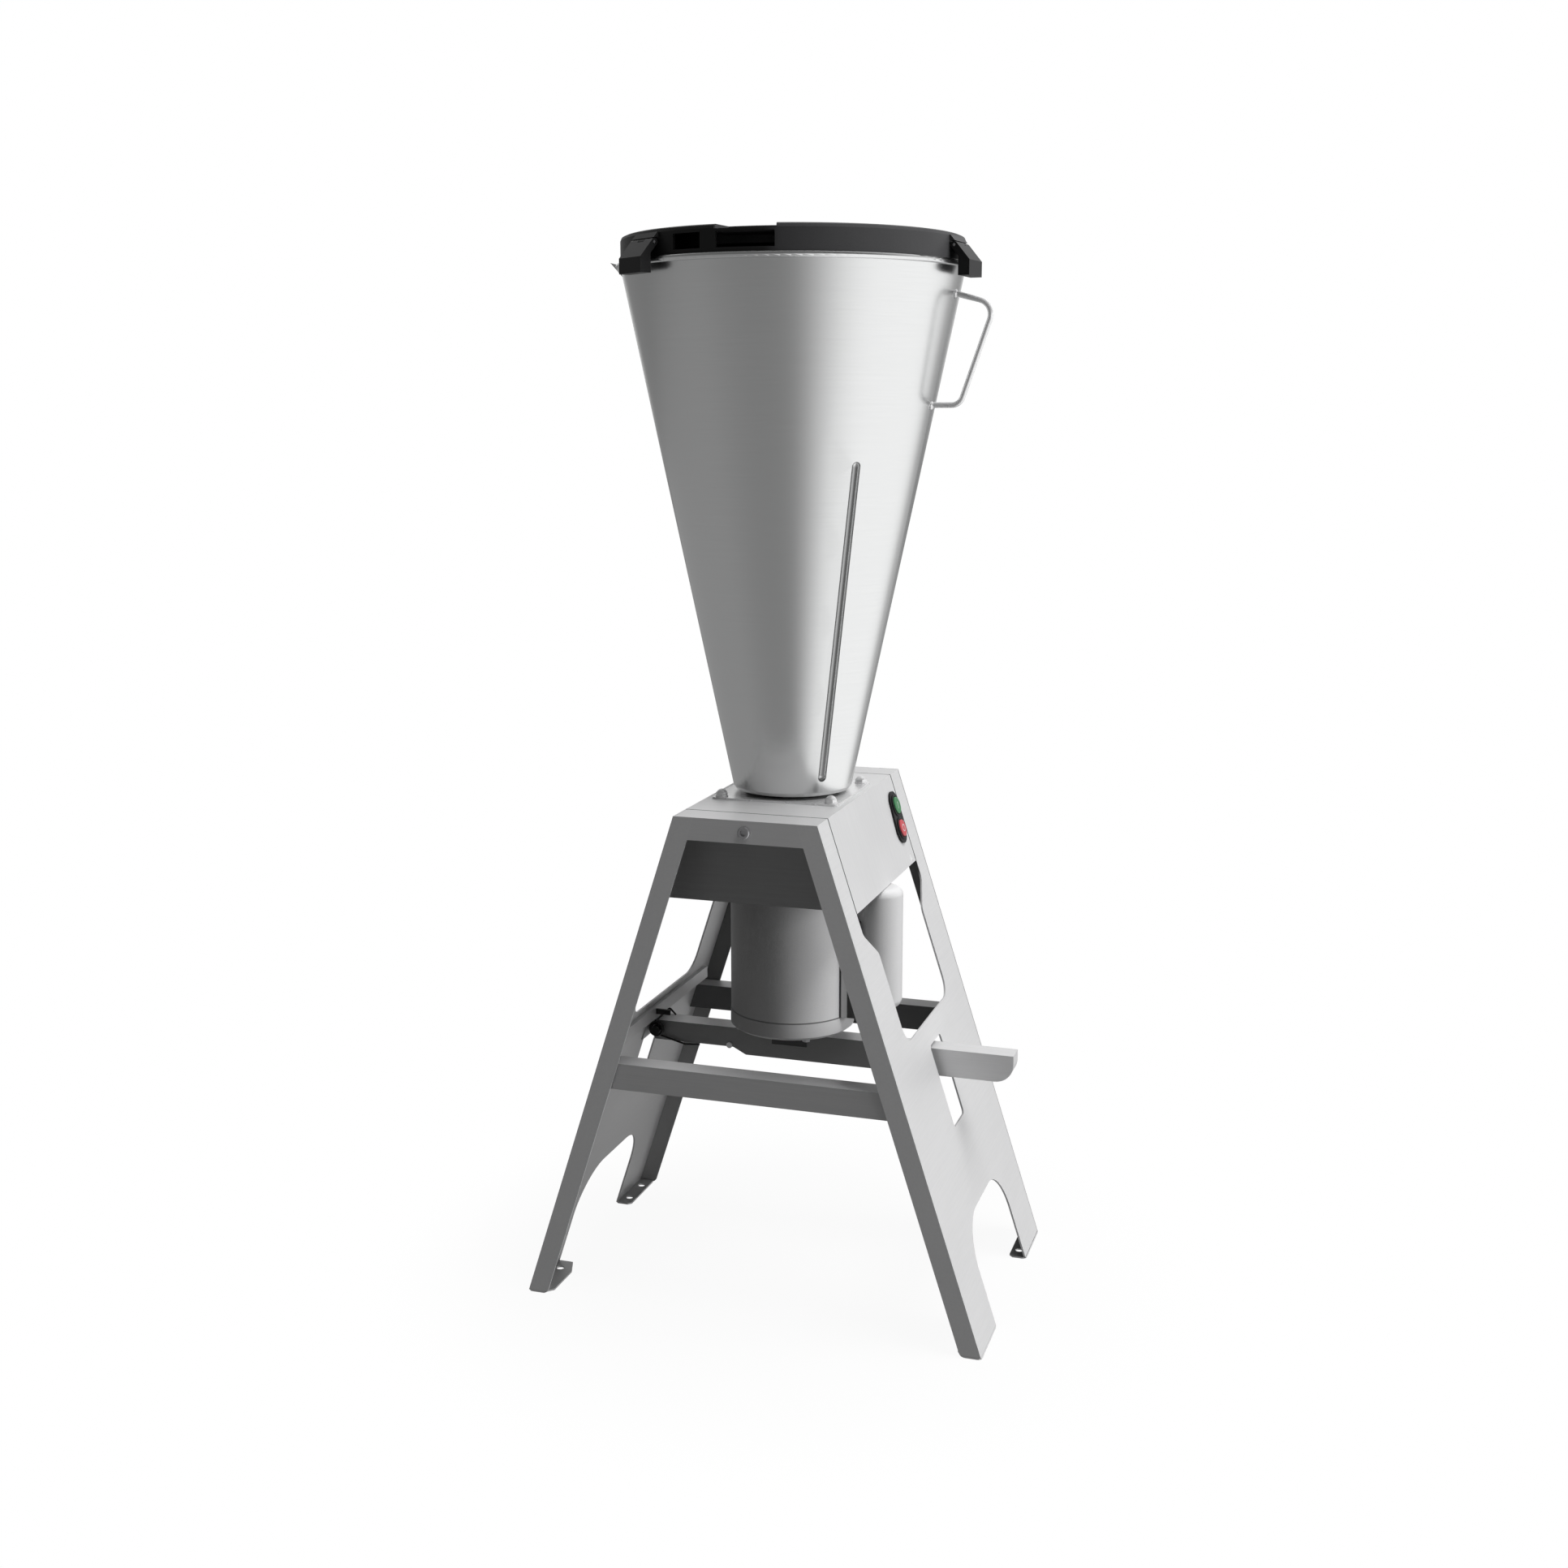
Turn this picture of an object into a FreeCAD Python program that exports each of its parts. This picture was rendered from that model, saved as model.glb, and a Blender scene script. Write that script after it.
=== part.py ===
import FreeCAD
import Part

import math
import os

# Tilting blender: a leaning two-plate stand, a tilting head with its motor below
# and its cup above, a lift-off lid and a foot pedal. Millimetres, +Z up, +X towards
# the pedal, origin on the floor in the middle of the feet.

# Stand sizes
stand_height = 550.0
stand_depth = 324.4
foot_span = 510.8
top_span = 154.4
sheet = 2.0
edge_flange = 22.5
flange_round_in = 7.0
flange_round_out = 4.0
foot_flange = 27.0
foot_chamfer_x = 8.0
foot_chamfer_y = 21.0
foot_nose = 10.0
rear_foot_flange = 20.0
foot_round = 4.0
foot_hole_r = 4.5
foot_hole_inset = 11.4
foot_hole_y_inner = 102.5
foot_hole_y_outer = 141.8

# Cut-outs of the side plates
arch_half = 85.0
arch_height = 110.0
arch_corner = 52.0
slot_half = 23.5
slot_below_lever = 53.0
slot_over_lever = 6.0
slot_corner = 5.0
window_half = 95.0
window_over_rail = 9.0
window_corner = 20.0
window_flare_drop = 22.0
window_flare_height = 26.0
window_flare_corner = 11.0
head_seam = 1.4

# Beams, crossbars and rails of the stand
beam_depth = 36.2
beam_drop = 24.0
crossbar_below_lever = 0.5
crossbar_height = 29.0
crossbar_depth = 24.5
crossbar_setback = 2.2
rail_over_slot = 1.5
rail_height = 13.5
rail_ledge = 4.7
rail_half_length = 138.0

# Tilt pivot
pivot_drop = 12.0
pivot_bolt_r = 5.0
pivot_head_r = 6.5
pivot_head_t = 4.0
pivot_socket_r = 3.2
pivot_socket_depth = 2.4
pivot_bolt_reach = 106.0
pivot_spacer_r = 10.0
pivot_bush_r = 9.0
pivot_bush_flange_r = 12.5
pivot_bush_flange_t = 3.2
pivot_bush_length = 10.0
running_gap = 0.05

# Housing of the tilting head
housing_height = 98.0
wall_setback = 4.6
shaft_hole_r = 24.0
panel_screw_y = 111.0
panel_screw_up = 6.2
panel_screw_r = 2.4
panel_screw_head_r = 4.2
panel_screw_head_t = 1.6
gland_x = -40.0
gland_drop = 60.0
gland_r = 8.0
gland_nut_r = 10.5

# Push-button station on the right-hand panel
station_y = 101.0
station_drop = 46.35
station_tilt = 9.0
station_length = 60.0
station_width = 31.0
station_plate = 2.5
station_rim = 6.0
station_depth = 34.0
button_pitch = 26.4
button_r = 9.8
button_gap = 0.35
button_proud = 3.0
button_travel = 3.0
button_length = 14.0
button_collar_r = 10.7
button_collar_t = 3.0

# Base plate, studs and dome nuts
base_over_x = 9.0
base_over_y = 8.5
base_t = 2.0
stud_inset_x = 8.0
stud_inset_y = 13.5
stud_r = 3.0
stud_gap = 0.3
washer_r = 6.8
washer_t = 1.2
nut_r = 6.5
nut_hex_h = 3.2
nut_dome_h = 3.8

# Motor, hung under the housing top
motor_r = 68.3
motor_wall = 3.0
motor_flange_over_x = 0.7
motor_flange_over_y = 3.7
motor_flange_t = 12.0
motor_spigot = 14.0
motor_shell_bottom = 244.0
shield_height = 19.5
shield_chamfer_r = 4.5
shield_chamfer_h = 3.5
shield_plate = 5.0
bearing_r = 20.0
bearing_t = 11.0
bearing_seat_wall = 4.5
stator_inner_r = 41.0
stator_gap = 0.3
stator_bottom = 207.0
stator_height = 112.0
winding_height = 18.0
winding_inner_over = 3.0
winding_clear = 5.3
air_gap = 0.6
fan_clear = 8.3
fan_t = 12.0
fan_hub_r = 17.0
fan_blades = 7
screw_inset = 8.3
screw_azimuth = 32.0
screw_r = 2.5
screw_head_r = 4.2
screw_head_t = 2.7

# Run capacitor beside the motor
capacitor_r = 25.5
capacitor_gap = 5.8
capacitor_bottom = 234.0
capacitor_height = 135.0
capacitor_round = 9.0
saddle_half_y = 28.0
saddle_inside = 10.3
saddle_outside = 15.7
saddle_bottom = 243.0
saddle_height = 108.0
saddle_round = 6.0
fit_gap = 0.3

# Latch striker under the motor
striker_x = 7.0
striker_width = 40.0
striker_y = -33.0
striker_t = 2.5
striker_foot = 15.0
striker_drop = 16.0

# Shaft, seal and blades
shaft_r = 12.5
shaft_gap = 1.5
shaft_neck_r = 9.0
shaft_tip_r = 7.0
seal_r = 16.0
seal_flange_r = 26.0
seal_flange_t = 3.4
seal_lead = 12.0
blade_r = 52.0
blade_flat = 22.0
blade_lift = 13.0
blade_dip = 5.0
blade_t = 2.5
blade_half_w = 10.0
hub_r = 12.0
blade_spacer = 9.5
blade_nut_r = 9.0
blade_nut_h = 10.0

# Cup
cup_base_gap = 2.6
cup_base_r = 63.4
cup_rim_r = 179.0
cup_height = 550.4
gasket_inset = 13.0
cup_wall = 1.6
cup_floor = 2.0
cup_base_round = 5.0
bead_r = 3.25
cup_bolt_circle = 33.0
cup_bolt_r = 3.0
cup_bolt_head_r = 4.6
cup_bolt_head_h = 4.0
rib_azimuth = -45.0
rib_bottom = 22.0
rib_top = 348.0
rib_r = 4.8
rib_wall = 1.5
spout_over = 25.7
spout_rise = 7.4
spout_drop = 29.0
spout_half_w = 50.0
spout_root_in = 10.0
spout_side_drop = 2.0
handle_r = 2.9
handle_top_drop = 31.0
handle_shoulder_drop = 42.0
handle_foot_drop = 142.0
handle_top_out = 43.1
handle_foot_out = 29.5
handle_top_bend = 15.0
handle_foot_bend = 12.0

# Lid
lid_inset = 1.0
lid_wall = 3.0
lid_seat = 0.3
lid_height = 26.0
lid_round = 4.0
lid_rim_width = 44.0
lid_deck_drop = 12.0
lid_plug_in = 10.0
lid_plug_drop = 10.0
lid_gasket_h = 6.0
filler_r = 42.0
collar_wall = 5.0
collar_rise = 8.0
grip_bottom = 3.7
grip_top = 7.0
grip_rib_start = 257.5
grip_rib_end = 263.0
grip_start = 247.0
grip_end = 282.0
saddle_dip = 4.6

# Lid clips
clip_azimuths = (114.0, 234.0, 354.0)
clip_width = 40.0
clip_reach = 20.0
clip_inner_reach = 8.3
clip_shoulder_drop = 1.5
clip_foot_drop = 16.5
clip_wall_inner_drop = 3.6
clip_hinge_reach = 3.6
clip_hinge_up = 12.8
clip_knuckle_r = 3.4
clip_ear_width = 10.0
clip_gap = 0.4
clip_pin_r = 1.5

# Filler cap
cap_t = 3.0
cap_skirt_h = 6.0
cap_plug_h = 5.3
cap_gap = 0.4
cap_knob_r = 12.0
cap_knob_h = 8.0

# Pedal lever, its pivot and spring
lever_under_motor = 9.5
lever_height = 30.5
lever_half_w = 12.5
lever_end = 5.5
lever_tip_inset = 2.4
lever_tip_corner = 20.0
lever_step_x = -66.0
lever_step_run = 15.0
lever_step_h = 7.7
lever_step_round = 4.0
lever_bolt_x = -70.0
lever_bolt_rise = 9.9
lever_bolt_r = 1.5
lever_bolt_head_r = 3.4
lever_pin_inset = 12.9
lever_pin_rise = 22.0
lever_pin_r = 4.0
lever_pin_head_r = 5.5
lever_pin_reach = 25.0
bracket_half_w = 9.0
bracket_reach = 9.5
bracket_below_pin = 7.5
bracket_over_pin = 3.5
bracket_plate_drop = 3.0
bracket_lap = 1.0
bracket_plate_lap = 8.5
bracket_t = 1.5
coil_r = 7.2
coil_wire_r = 1.3
coil_turns = 4
coil_pitch = 2.4
coil_start = 15.6
spring_gap = 0.3
spring_leg_r = 1.1
spring_leg_out = 0.5
spring_reach = 33.0
hook_rise = 22.5
hook_bend = 3.0
anchor_pin_r = 1.1


def side_x(z):
    """Outer face of the leaning plates at height z."""
    return foot_half - (foot_half - top_half) * z / stand_height


# Sizes that follow from the ones above
foot_half = foot_span / 2
top_half = top_span / 2
half_depth = stand_depth / 2
lean = math.atan2(foot_half - top_half, stand_height)
slope_length = stand_height / math.cos(lean)
sheet_x = sheet / math.cos(lean)
beam_back = half_depth - beam_depth
head_half = beam_back - head_seam
wall_out = head_half - wall_setback
pivot_z = stand_height - pivot_drop
housing_bottom = stand_height - housing_height
station_v = slope_length - station_drop
head_top = stand_height
base_top = head_top + base_t
cup_z = base_top + cup_base_gap
floor_top = cup_z + cup_floor
rim_z = cup_z + cup_height
cup_slope = (cup_rim_r - cup_base_r) / cup_height
spout_reach = cup_rim_r + spout_over
spout_root = cup_rim_r - spout_root_in
lid_r = cup_rim_r - lid_inset
lid_rim_inner_r = lid_r - lid_rim_width
lid_plug_r = lid_r - lid_plug_in
lid_bottom = rim_z + lid_seat
lid_top = rim_z + lid_height
lid_deck = lid_top - lid_deck_drop
collar_top = lid_deck + collar_rise
clip_out = lid_r + clip_reach
clip_inner = lid_r + clip_inner_reach
clip_hinge_r = lid_r + clip_hinge_reach
motor_top = head_top - sheet
motor_flange_half_x = motor_r + motor_flange_over_x
motor_flange_half_y = motor_r + motor_flange_over_y
stud_x = motor_flange_half_x - stud_inset_x
stud_y = motor_flange_half_y - stud_inset_y
base_half_x = stud_x + base_over_x
base_half_y = stud_y + base_over_y
winding_inner_r = stator_inner_r + winding_inner_over
winding_outer_r = motor_r - motor_wall - winding_clear
fan_r = motor_r - motor_wall - fan_clear
screw_circle_r = motor_r - screw_inset
capacitor_x = motor_r + capacitor_gap + capacitor_r
saddle_x0 = motor_r - saddle_inside
saddle_x1 = motor_r + saddle_outside
shield_top = head_top - motor_shell_bottom
shield_bottom = shield_top - shield_height
low_bearing_z = shield_bottom + shield_plate
top_bearing_z = motor_top - motor_flange_t - bearing_t
stator_z = head_top - stator_bottom
blade_z = floor_top + seal_flange_t + seal_lead
upper_blade_z = blade_z + blade_t + blade_spacer
hinge_z = rim_z + clip_hinge_up
lever_top = shield_bottom - lever_under_motor
lever_bottom = lever_top - lever_height
lever_step_z = lever_bottom + lever_step_h
lever_tip = foot_half - lever_tip_inset
lever_bolt_z = lever_bottom + lever_bolt_rise
lever_pin_z = lever_bottom + lever_pin_rise
lever_pin_x = lever_pin_inset - side_x(lever_pin_z)
lever_left = lever_end - lever_pin_x
bracket_right = -lever_pin_x - bracket_reach
bracket_bottom = lever_pin_z - bracket_below_pin
bracket_top = lever_pin_z + bracket_over_pin
bracket_plate_bottom = bracket_bottom - bracket_plate_drop
crossbar_bottom = lever_bottom - crossbar_below_lever
slot_top = lever_top + slot_over_lever
slot_bottom = lever_bottom - slot_below_lever
rail_bottom = slot_top + rail_over_slot
rail_top = rail_bottom + rail_height
rail_inner_x = side_x(rail_top) - sheet_x - rail_ledge
window_bottom = rail_top + window_over_rail
window_flare_top = housing_bottom - window_flare_drop
window_flare_bottom = window_flare_top - window_flare_height

os.makedirs("parts", exist_ok=True)


def vec(x, y, z):
    return FreeCAD.Vector(x, y, z)


def box(x0, x1, y0, y1, z0, z1):
    return Part.makeBox(x1 - x0, y1 - y0, z1 - z0, vec(x0, y0, z0))


def rod(p0, p1, r):
    axis = p1.sub(p0)
    return Part.makeCylinder(r, axis.Length, p0, axis)


def ring(outer, inner, z0, z1, x=0.0, y=0.0):
    body = Part.makeCylinder(outer, z1 - z0, vec(x, y, z0))
    return body.cut(Part.makeCylinder(inner, z1 - z0 + 2, vec(x, y, z0 - 1)))


def prism_xz(points, y0, y1):
    """Polygon of (x, z) points pulled along Y."""
    loop = [vec(x, y0, z) for x, z in points]
    face = Part.Face(Part.makePolygon(loop + [loop[0]]))
    return face.extrude(vec(0, y1 - y0, 0))


def prism_xy(points, z0, z1):
    loop = [vec(x, y, z0) for x, y in points]
    face = Part.Face(Part.makePolygon(loop + [loop[0]]))
    return face.extrude(vec(0, 0, z1 - z0))


def lathe(points, x=0.0, y=0.0):
    """Closed (r, z) outline turned about a vertical axis."""
    loop = [vec(x + r, y, z) for r, z in points]
    face = Part.Face(Part.makePolygon(loop + [loop[0]]))
    return face.revolve(vec(x, y, 0), vec(0, 0, 1), 360)


def sector(outer, inner, z0, z1, start, end):
    """Part of a ring between two azimuths."""
    body = Part.makeCylinder(outer, z1 - z0, vec(0, 0, z0), vec(0, 0, 1), end - start)
    core = Part.makeCylinder(inner, z1 - z0 + 2, vec(0, 0, z0 - 1))
    return turned(body.cut(core), start)


def turned(shape, azimuth):
    copy = shape.copy()
    copy.rotate(vec(0, 0, 0), vec(0, 0, 1), azimuth)
    return copy


def mirrored(shape, normal):
    return shape.mirror(vec(0, 0, 0), normal)


def rounded_face(corners):
    """Flat face in XY from (x, y, radius) corners, each rounded by its radius."""
    edges = []
    ends = []
    count = len(corners)
    for i in range(count):
        here = vec(corners[i][0], corners[i][1], 0)
        back = vec(corners[i - 1][0], corners[i - 1][1], 0).sub(here)
        ahead = vec(corners[(i + 1) % count][0], corners[(i + 1) % count][1], 0).sub(here)
        back.normalize()
        ahead.normalize()
        radius = corners[i][2]
        if radius == 0:
            ends.append((here, here, None))
            continue
        half = back.getAngle(ahead) / 2
        reach = radius / math.tan(half)
        middle = back.add(ahead)
        middle.normalize()
        top = here.add(middle * (radius / math.sin(half) - radius))
        ends.append((here.add(back * reach), here.add(ahead * reach), top))
    for i in range(count):
        start, end, top = ends[i]
        if top:
            edges.append(Part.Arc(start, top, end).toShape())
        edges.append(Part.LineSegment(end, ends[(i + 1) % count][0]).toShape())
    return Part.Face(Part.Wire(edges))


def fused(shapes):
    return shapes[0].multiFuse(shapes[1:]).removeSplitter()


def on_side(shape, inward=0.0):
    """Moves a shape drawn flat (x along the depth, y up the slope, z outward)
    onto the outer face of the right-hand side."""
    c = math.cos(lean)
    s = math.sin(lean)
    frame = FreeCAD.Matrix(0, -s, c, foot_half - inward * c,
                           1, 0, 0, 0,
                           0, c, s, -inward * s,
                           0, 0, 0, 1)
    copy = shape.copy()
    copy.Placement = FreeCAD.Placement(frame).multiply(copy.Placement)
    return copy


def up(z):
    """Distance up the slope to height z."""
    return z / math.cos(lean)


# Side plates: one folded sheet each, with edge flanges and four drilled feet flanges
def upright(corners, y0, y1):
    """Flat piece from rounded (x, z, radius) corners, pulled along Y."""
    face = rounded_face(corners)
    face.rotate(vec(0, 0, 0), vec(1, 0, 0), 90)
    face.translate(vec(0, y0, 0))
    return face.extrude(vec(0, y1 - y0, 0))


def foot(width, nose, chamfer_x, chamfer_y):
    """Flange of the rear foot, turned in along the floor, with its two holes."""
    inner = foot_half - width
    face = rounded_face([(side_x(sheet), arch_half, foot_round), (side_x(sheet), half_depth, foot_round),
                         (inner + nose, half_depth, 0), (inner, half_depth - nose, 0),
                         (inner, arch_half + chamfer_y, 0), (inner + chamfer_x, arch_half, 0)])
    flange = face.extrude(vec(0, 0, sheet))
    for y in (foot_hole_y_inner, foot_hole_y_outer):
        flange = flange.cut(Part.makeCylinder(foot_hole_r, 3 * sheet,
                                              vec(foot_half - foot_hole_inset, y, -sheet)))
    return flange


def side_plate():
    over = 2 * sheet
    r = foot_round
    blank = rounded_face([(-half_depth, 0, r), (-arch_half, 0, r),
                          (-arch_half, up(arch_height), arch_corner),
                          (arch_half, up(arch_height), arch_corner),
                          (arch_half, 0, r), (half_depth, 0, r),
                          (half_depth, slope_length + over, 0),
                          (-half_depth, slope_length + over, 0)])
    slot = rounded_face([(-slot_half, up(slot_bottom), slot_corner),
                         (slot_half, up(slot_bottom), slot_corner),
                         (slot_half, up(slot_top), slot_corner),
                         (-slot_half, up(slot_top), slot_corner)])
    wide = beam_back
    window = rounded_face([(-window_half, up(window_bottom), window_corner),
                           (window_half, up(window_bottom), window_corner),
                           (window_half, up(window_flare_bottom), window_flare_corner),
                           (wide, up(window_flare_top), window_flare_corner),
                           (wide, slope_length + 2 * over, 0),
                           (-wide, slope_length + 2 * over, 0),
                           (-wide, up(window_flare_top), window_flare_corner),
                           (-window_half, up(window_flare_bottom), window_flare_corner)])
    plate = blank.cut(slot).cut(window).extrude(vec(0, 0, sheet))
    plate = on_side(plate, sheet)
    plate = plate.common(box(0, foot_span, -stand_depth, stand_depth, 0, stand_height))
    strip = [(foot_half, 0, flange_round_out), (top_half, stand_height, 0),
             (top_half - edge_flange, stand_height, 0),
             (foot_half - edge_flange, 0, flange_round_in)]
    front = upright(strip, -half_depth, -half_depth + sheet)
    rear = upright(strip, half_depth - sheet, half_depth)
    front_foot = mirrored(foot(foot_flange, foot_nose, foot_chamfer_x, foot_chamfer_y), vec(0, 1, 0))
    rear_foot = foot(rear_foot_flange, foot_round, foot_round, foot_round)
    return fused([plate, front, rear, front_foot, rear_foot])


# Top beams: folded channels that tie the plates and carry the pivot bolts
def top_beam():
    low = stand_height - beam_drop
    web = prism_xz([(-side_x(low) + edge_flange, low), (side_x(low) - edge_flange, low),
                    (top_half - edge_flange, stand_height),
                    (-top_half + edge_flange, stand_height)],
                   -half_depth, -half_depth + sheet)
    under = stand_height - sheet
    top = prism_xz([(-side_x(under) + sheet_x, under), (side_x(under) - sheet_x, under),
                    (top_half - sheet_x, stand_height), (-top_half + sheet_x, stand_height)],
                   -half_depth + sheet, -beam_back)
    lip = prism_xz([(-side_x(low) + sheet_x, low), (side_x(low) - sheet_x, low),
                    (side_x(under) - sheet_x, under), (-side_x(under) + sheet_x, under)],
                   -beam_back - sheet, -beam_back)
    beam = fused([web, top, lip])
    hole = rod(vec(0, -half_depth - 1, pivot_z), vec(0, -beam_back + 1, pivot_z), pivot_bolt_r)
    return beam.cut(hole)


# Crossbars: channels open below, welded between the plates
def crossbar():
    top = crossbar_bottom + crossbar_height
    front = -half_depth + sheet + crossbar_setback
    back = front + crossbar_depth

    def trapeze(z0, z1, y0, y1):
        x0 = side_x(z0) - sheet_x
        x1 = side_x(z1) - sheet_x
        return prism_xz([(-x0, z0), (x0, z0), (x1, z1), (-x1, z1)], y0, y1)

    outer = trapeze(crossbar_bottom, top, front, back)
    return outer.cut(trapeze(crossbar_bottom - 1, top - sheet, front + sheet, back - sheet))


# Rails: strips along the inside of each plate, below the windows
def plate_rail():
    return prism_xz([(side_x(rail_bottom) - sheet_x, rail_bottom),
                     (side_x(rail_top) - sheet_x, rail_top),
                     (rail_inner_x, rail_top), (rail_inner_x, rail_bottom)],
                    -rail_half_length, rail_half_length)


# Pivot: shouldered bolts through the top beams into bushes in the housing walls
def pivot_bolt():
    head = rod(vec(0, -half_depth - pivot_head_t, pivot_z), vec(0, -half_depth, pivot_z),
               pivot_head_r)
    head = head.makeChamfer(1.0, [edge for edge in head.Edges
                                  if abs(edge.CenterOfMass.y + half_depth + pivot_head_t) < 0.01
                                  and edge.Closed])
    socket = rod(vec(0, -half_depth - 2 * pivot_head_t, pivot_z),
                 vec(0, -half_depth - pivot_head_t + pivot_socket_depth, pivot_z), pivot_socket_r)
    shank = rod(vec(0, -half_depth, pivot_z), vec(0, -pivot_bolt_reach, pivot_z), pivot_bolt_r)
    return fused([head.cut(socket), shank])


def pivot_spacer():
    y0 = -half_depth + sheet
    y1 = -beam_back - sheet
    tube = rod(vec(0, y0, pivot_z), vec(0, y1, pivot_z), pivot_spacer_r)
    return tube.cut(rod(vec(0, y0 - 1, pivot_z), vec(0, y1 + 1, pivot_z), pivot_bolt_r))


def pivot_bush():
    y0 = -wall_out - pivot_bush_flange_t
    y1 = -wall_out + pivot_bush_length
    flange = rod(vec(0, y0, pivot_z), vec(0, -wall_out, pivot_z), pivot_bush_flange_r)
    flange = flange.common(box(-50, 50, -stand_depth, 0, 0, head_top - sheet - fit_gap))
    tube = rod(vec(0, y0, pivot_z), vec(0, y1, pivot_z), pivot_bush_r)
    bore = rod(vec(0, y0 - 1, pivot_z), vec(0, y1 + 1, pivot_z), pivot_bolt_r + running_gap)
    return fused([flange, tube]).cut(bore)


# Housing: welded sheet box that is open below, its panels flush with the side plates
def stud_places():
    return [(sx * stud_x, sy * stud_y) for sx in (-1, 1) for sy in (-1, 1)]


def station_frame(shape):
    """Puts a shape drawn about the station's centre onto the right-hand panel."""
    copy = shape.copy()
    copy.rotate(vec(0, 0, 0), vec(0, 0, 1), -station_tilt)
    copy.translate(vec(station_y, station_v, 0))
    return on_side(copy)


def stadium(width, length, z0, z1):
    r = width / 2
    half = length / 2 - r
    ends = [Part.makeCylinder(r, z1 - z0, vec(0, y, z0)) for y in (-half, half)]
    return fused([box(-r, r, -half, half, z0, z1)] + ends)


def slab(z0, z1, inset, y0, y1):
    """Block between the two leaning sides, its ends inset from their outer faces."""
    x0 = side_x(z0) - inset
    x1 = side_x(z1) - inset
    return prism_xz([(-x0, z0), (x0, z0), (x1, z1), (-x1, z1)], y0, y1)


def housing_top():
    under = head_top - sheet
    holes = [Part.makeCylinder(shaft_hole_r, 3 * sheet, vec(0, 0, under - sheet))]
    for x, y in stud_places():
        holes.append(Part.makeCylinder(stud_r + stud_gap, 3 * sheet, vec(x, y, under - sheet)))
    return slab(under, head_top, 0, -head_half, head_half).cut(holes)


def housing_panel():
    """Right-hand panel, with the hole for its screw."""
    under = head_top - sheet
    panel = prism_xz([(side_x(housing_bottom), housing_bottom), (side_x(under), under),
                      (side_x(under) - sheet_x, under),
                      (side_x(housing_bottom) - sheet_x, housing_bottom)], -head_half, head_half)
    return panel.cut(panel_screw_hole())


def station_hole():
    return station_frame(stadium(station_width - station_rim, station_length - station_rim,
                                 -4 * sheet, 4 * sheet))


def housing_wall():
    """Front end wall, set back between the panels, with the hole for its bush."""
    wall = slab(housing_bottom, head_top - sheet, sheet_x, -wall_out, -wall_out + sheet)
    return wall.cut(rod(vec(0, -head_half, pivot_z), vec(0, 0, pivot_z), pivot_bush_r))


def gland_hole():
    z = head_top - gland_drop
    return rod(vec(gland_x, 0, z), vec(gland_x, head_half, z), gland_r)


def panel_screw_hole():
    v = up(housing_bottom + panel_screw_up)
    return on_side(Part.makeCylinder(panel_screw_r, 6 * sheet, vec(panel_screw_y, v, -4 * sheet)))


def panel_screw():
    v = up(housing_bottom + panel_screw_up)
    head = Part.makeSphere(panel_screw_head_r * 2, vec(0, 0, 0))
    drop = math.sqrt((panel_screw_head_r * 2) ** 2 - panel_screw_head_r ** 2)
    head.translate(vec(0, 0, -drop))
    cap = head.common(Part.makeCylinder(panel_screw_head_r, panel_screw_head_t, vec(0, 0, 0)))
    shank = Part.makeCylinder(panel_screw_r, 6.0, vec(0, 0, -6.0))
    screw = fused([cap, shank])
    screw.translate(vec(panel_screw_y, v, 0))
    return on_side(screw)


def cable_gland():
    z = head_top - gland_drop
    body = rod(vec(gland_x, wall_out - 12, z), vec(gland_x, wall_out + 14, z), gland_r)
    nut = rod(vec(gland_x, wall_out, z), vec(gland_x, wall_out + 6, z), gland_nut_r)
    lock = rod(vec(gland_x, wall_out - sheet - 5, z), vec(gland_x, wall_out - sheet, z),
               gland_nut_r)
    bore = rod(vec(gland_x, wall_out - 20, z), vec(gland_x, wall_out + 20, z), gland_r / 2)
    return fused([body, nut, lock]).cut(bore)


# Push-button station: bezel, contact block behind the panel, two buttons
def switch_bezel():
    plate = stadium(station_width, station_length, 0, station_plate)
    for side in (-1, 1):
        plate = plate.cut(Part.makeCylinder(button_r + button_gap, 3 * station_plate,
                                            vec(0, side * button_pitch / 2, -station_plate)))
    return station_frame(plate)


def switch_block():
    width = station_width - station_rim - 2 * button_gap
    length = station_length - station_rim - 2 * button_gap
    block = stadium(width, length, -station_depth, 0)
    bottom = -button_length - button_travel - button_gap
    for side in (-1, 1):
        block = block.cut(Part.makeCylinder(button_collar_r + button_gap, 2 - bottom,
                                            vec(0, side * button_pitch / 2, bottom)))
    return station_frame(block)


def push_button(side):
    top = station_plate + button_proud
    stem = Part.makeCylinder(button_r, top + button_length, vec(0, 0, -button_length))
    rim = [edge for edge in stem.Edges if edge.Closed and abs(edge.CenterOfMass.z - top) < 0.01]
    stem = stem.makeFillet(1.2, rim)
    collar = Part.makeCylinder(button_collar_r, button_collar_t,
                               vec(0, 0, -button_gap - button_collar_t))
    button = fused([stem, collar])
    button.translate(vec(0, side * button_pitch / 2, 0))
    return station_frame(button)


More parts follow.
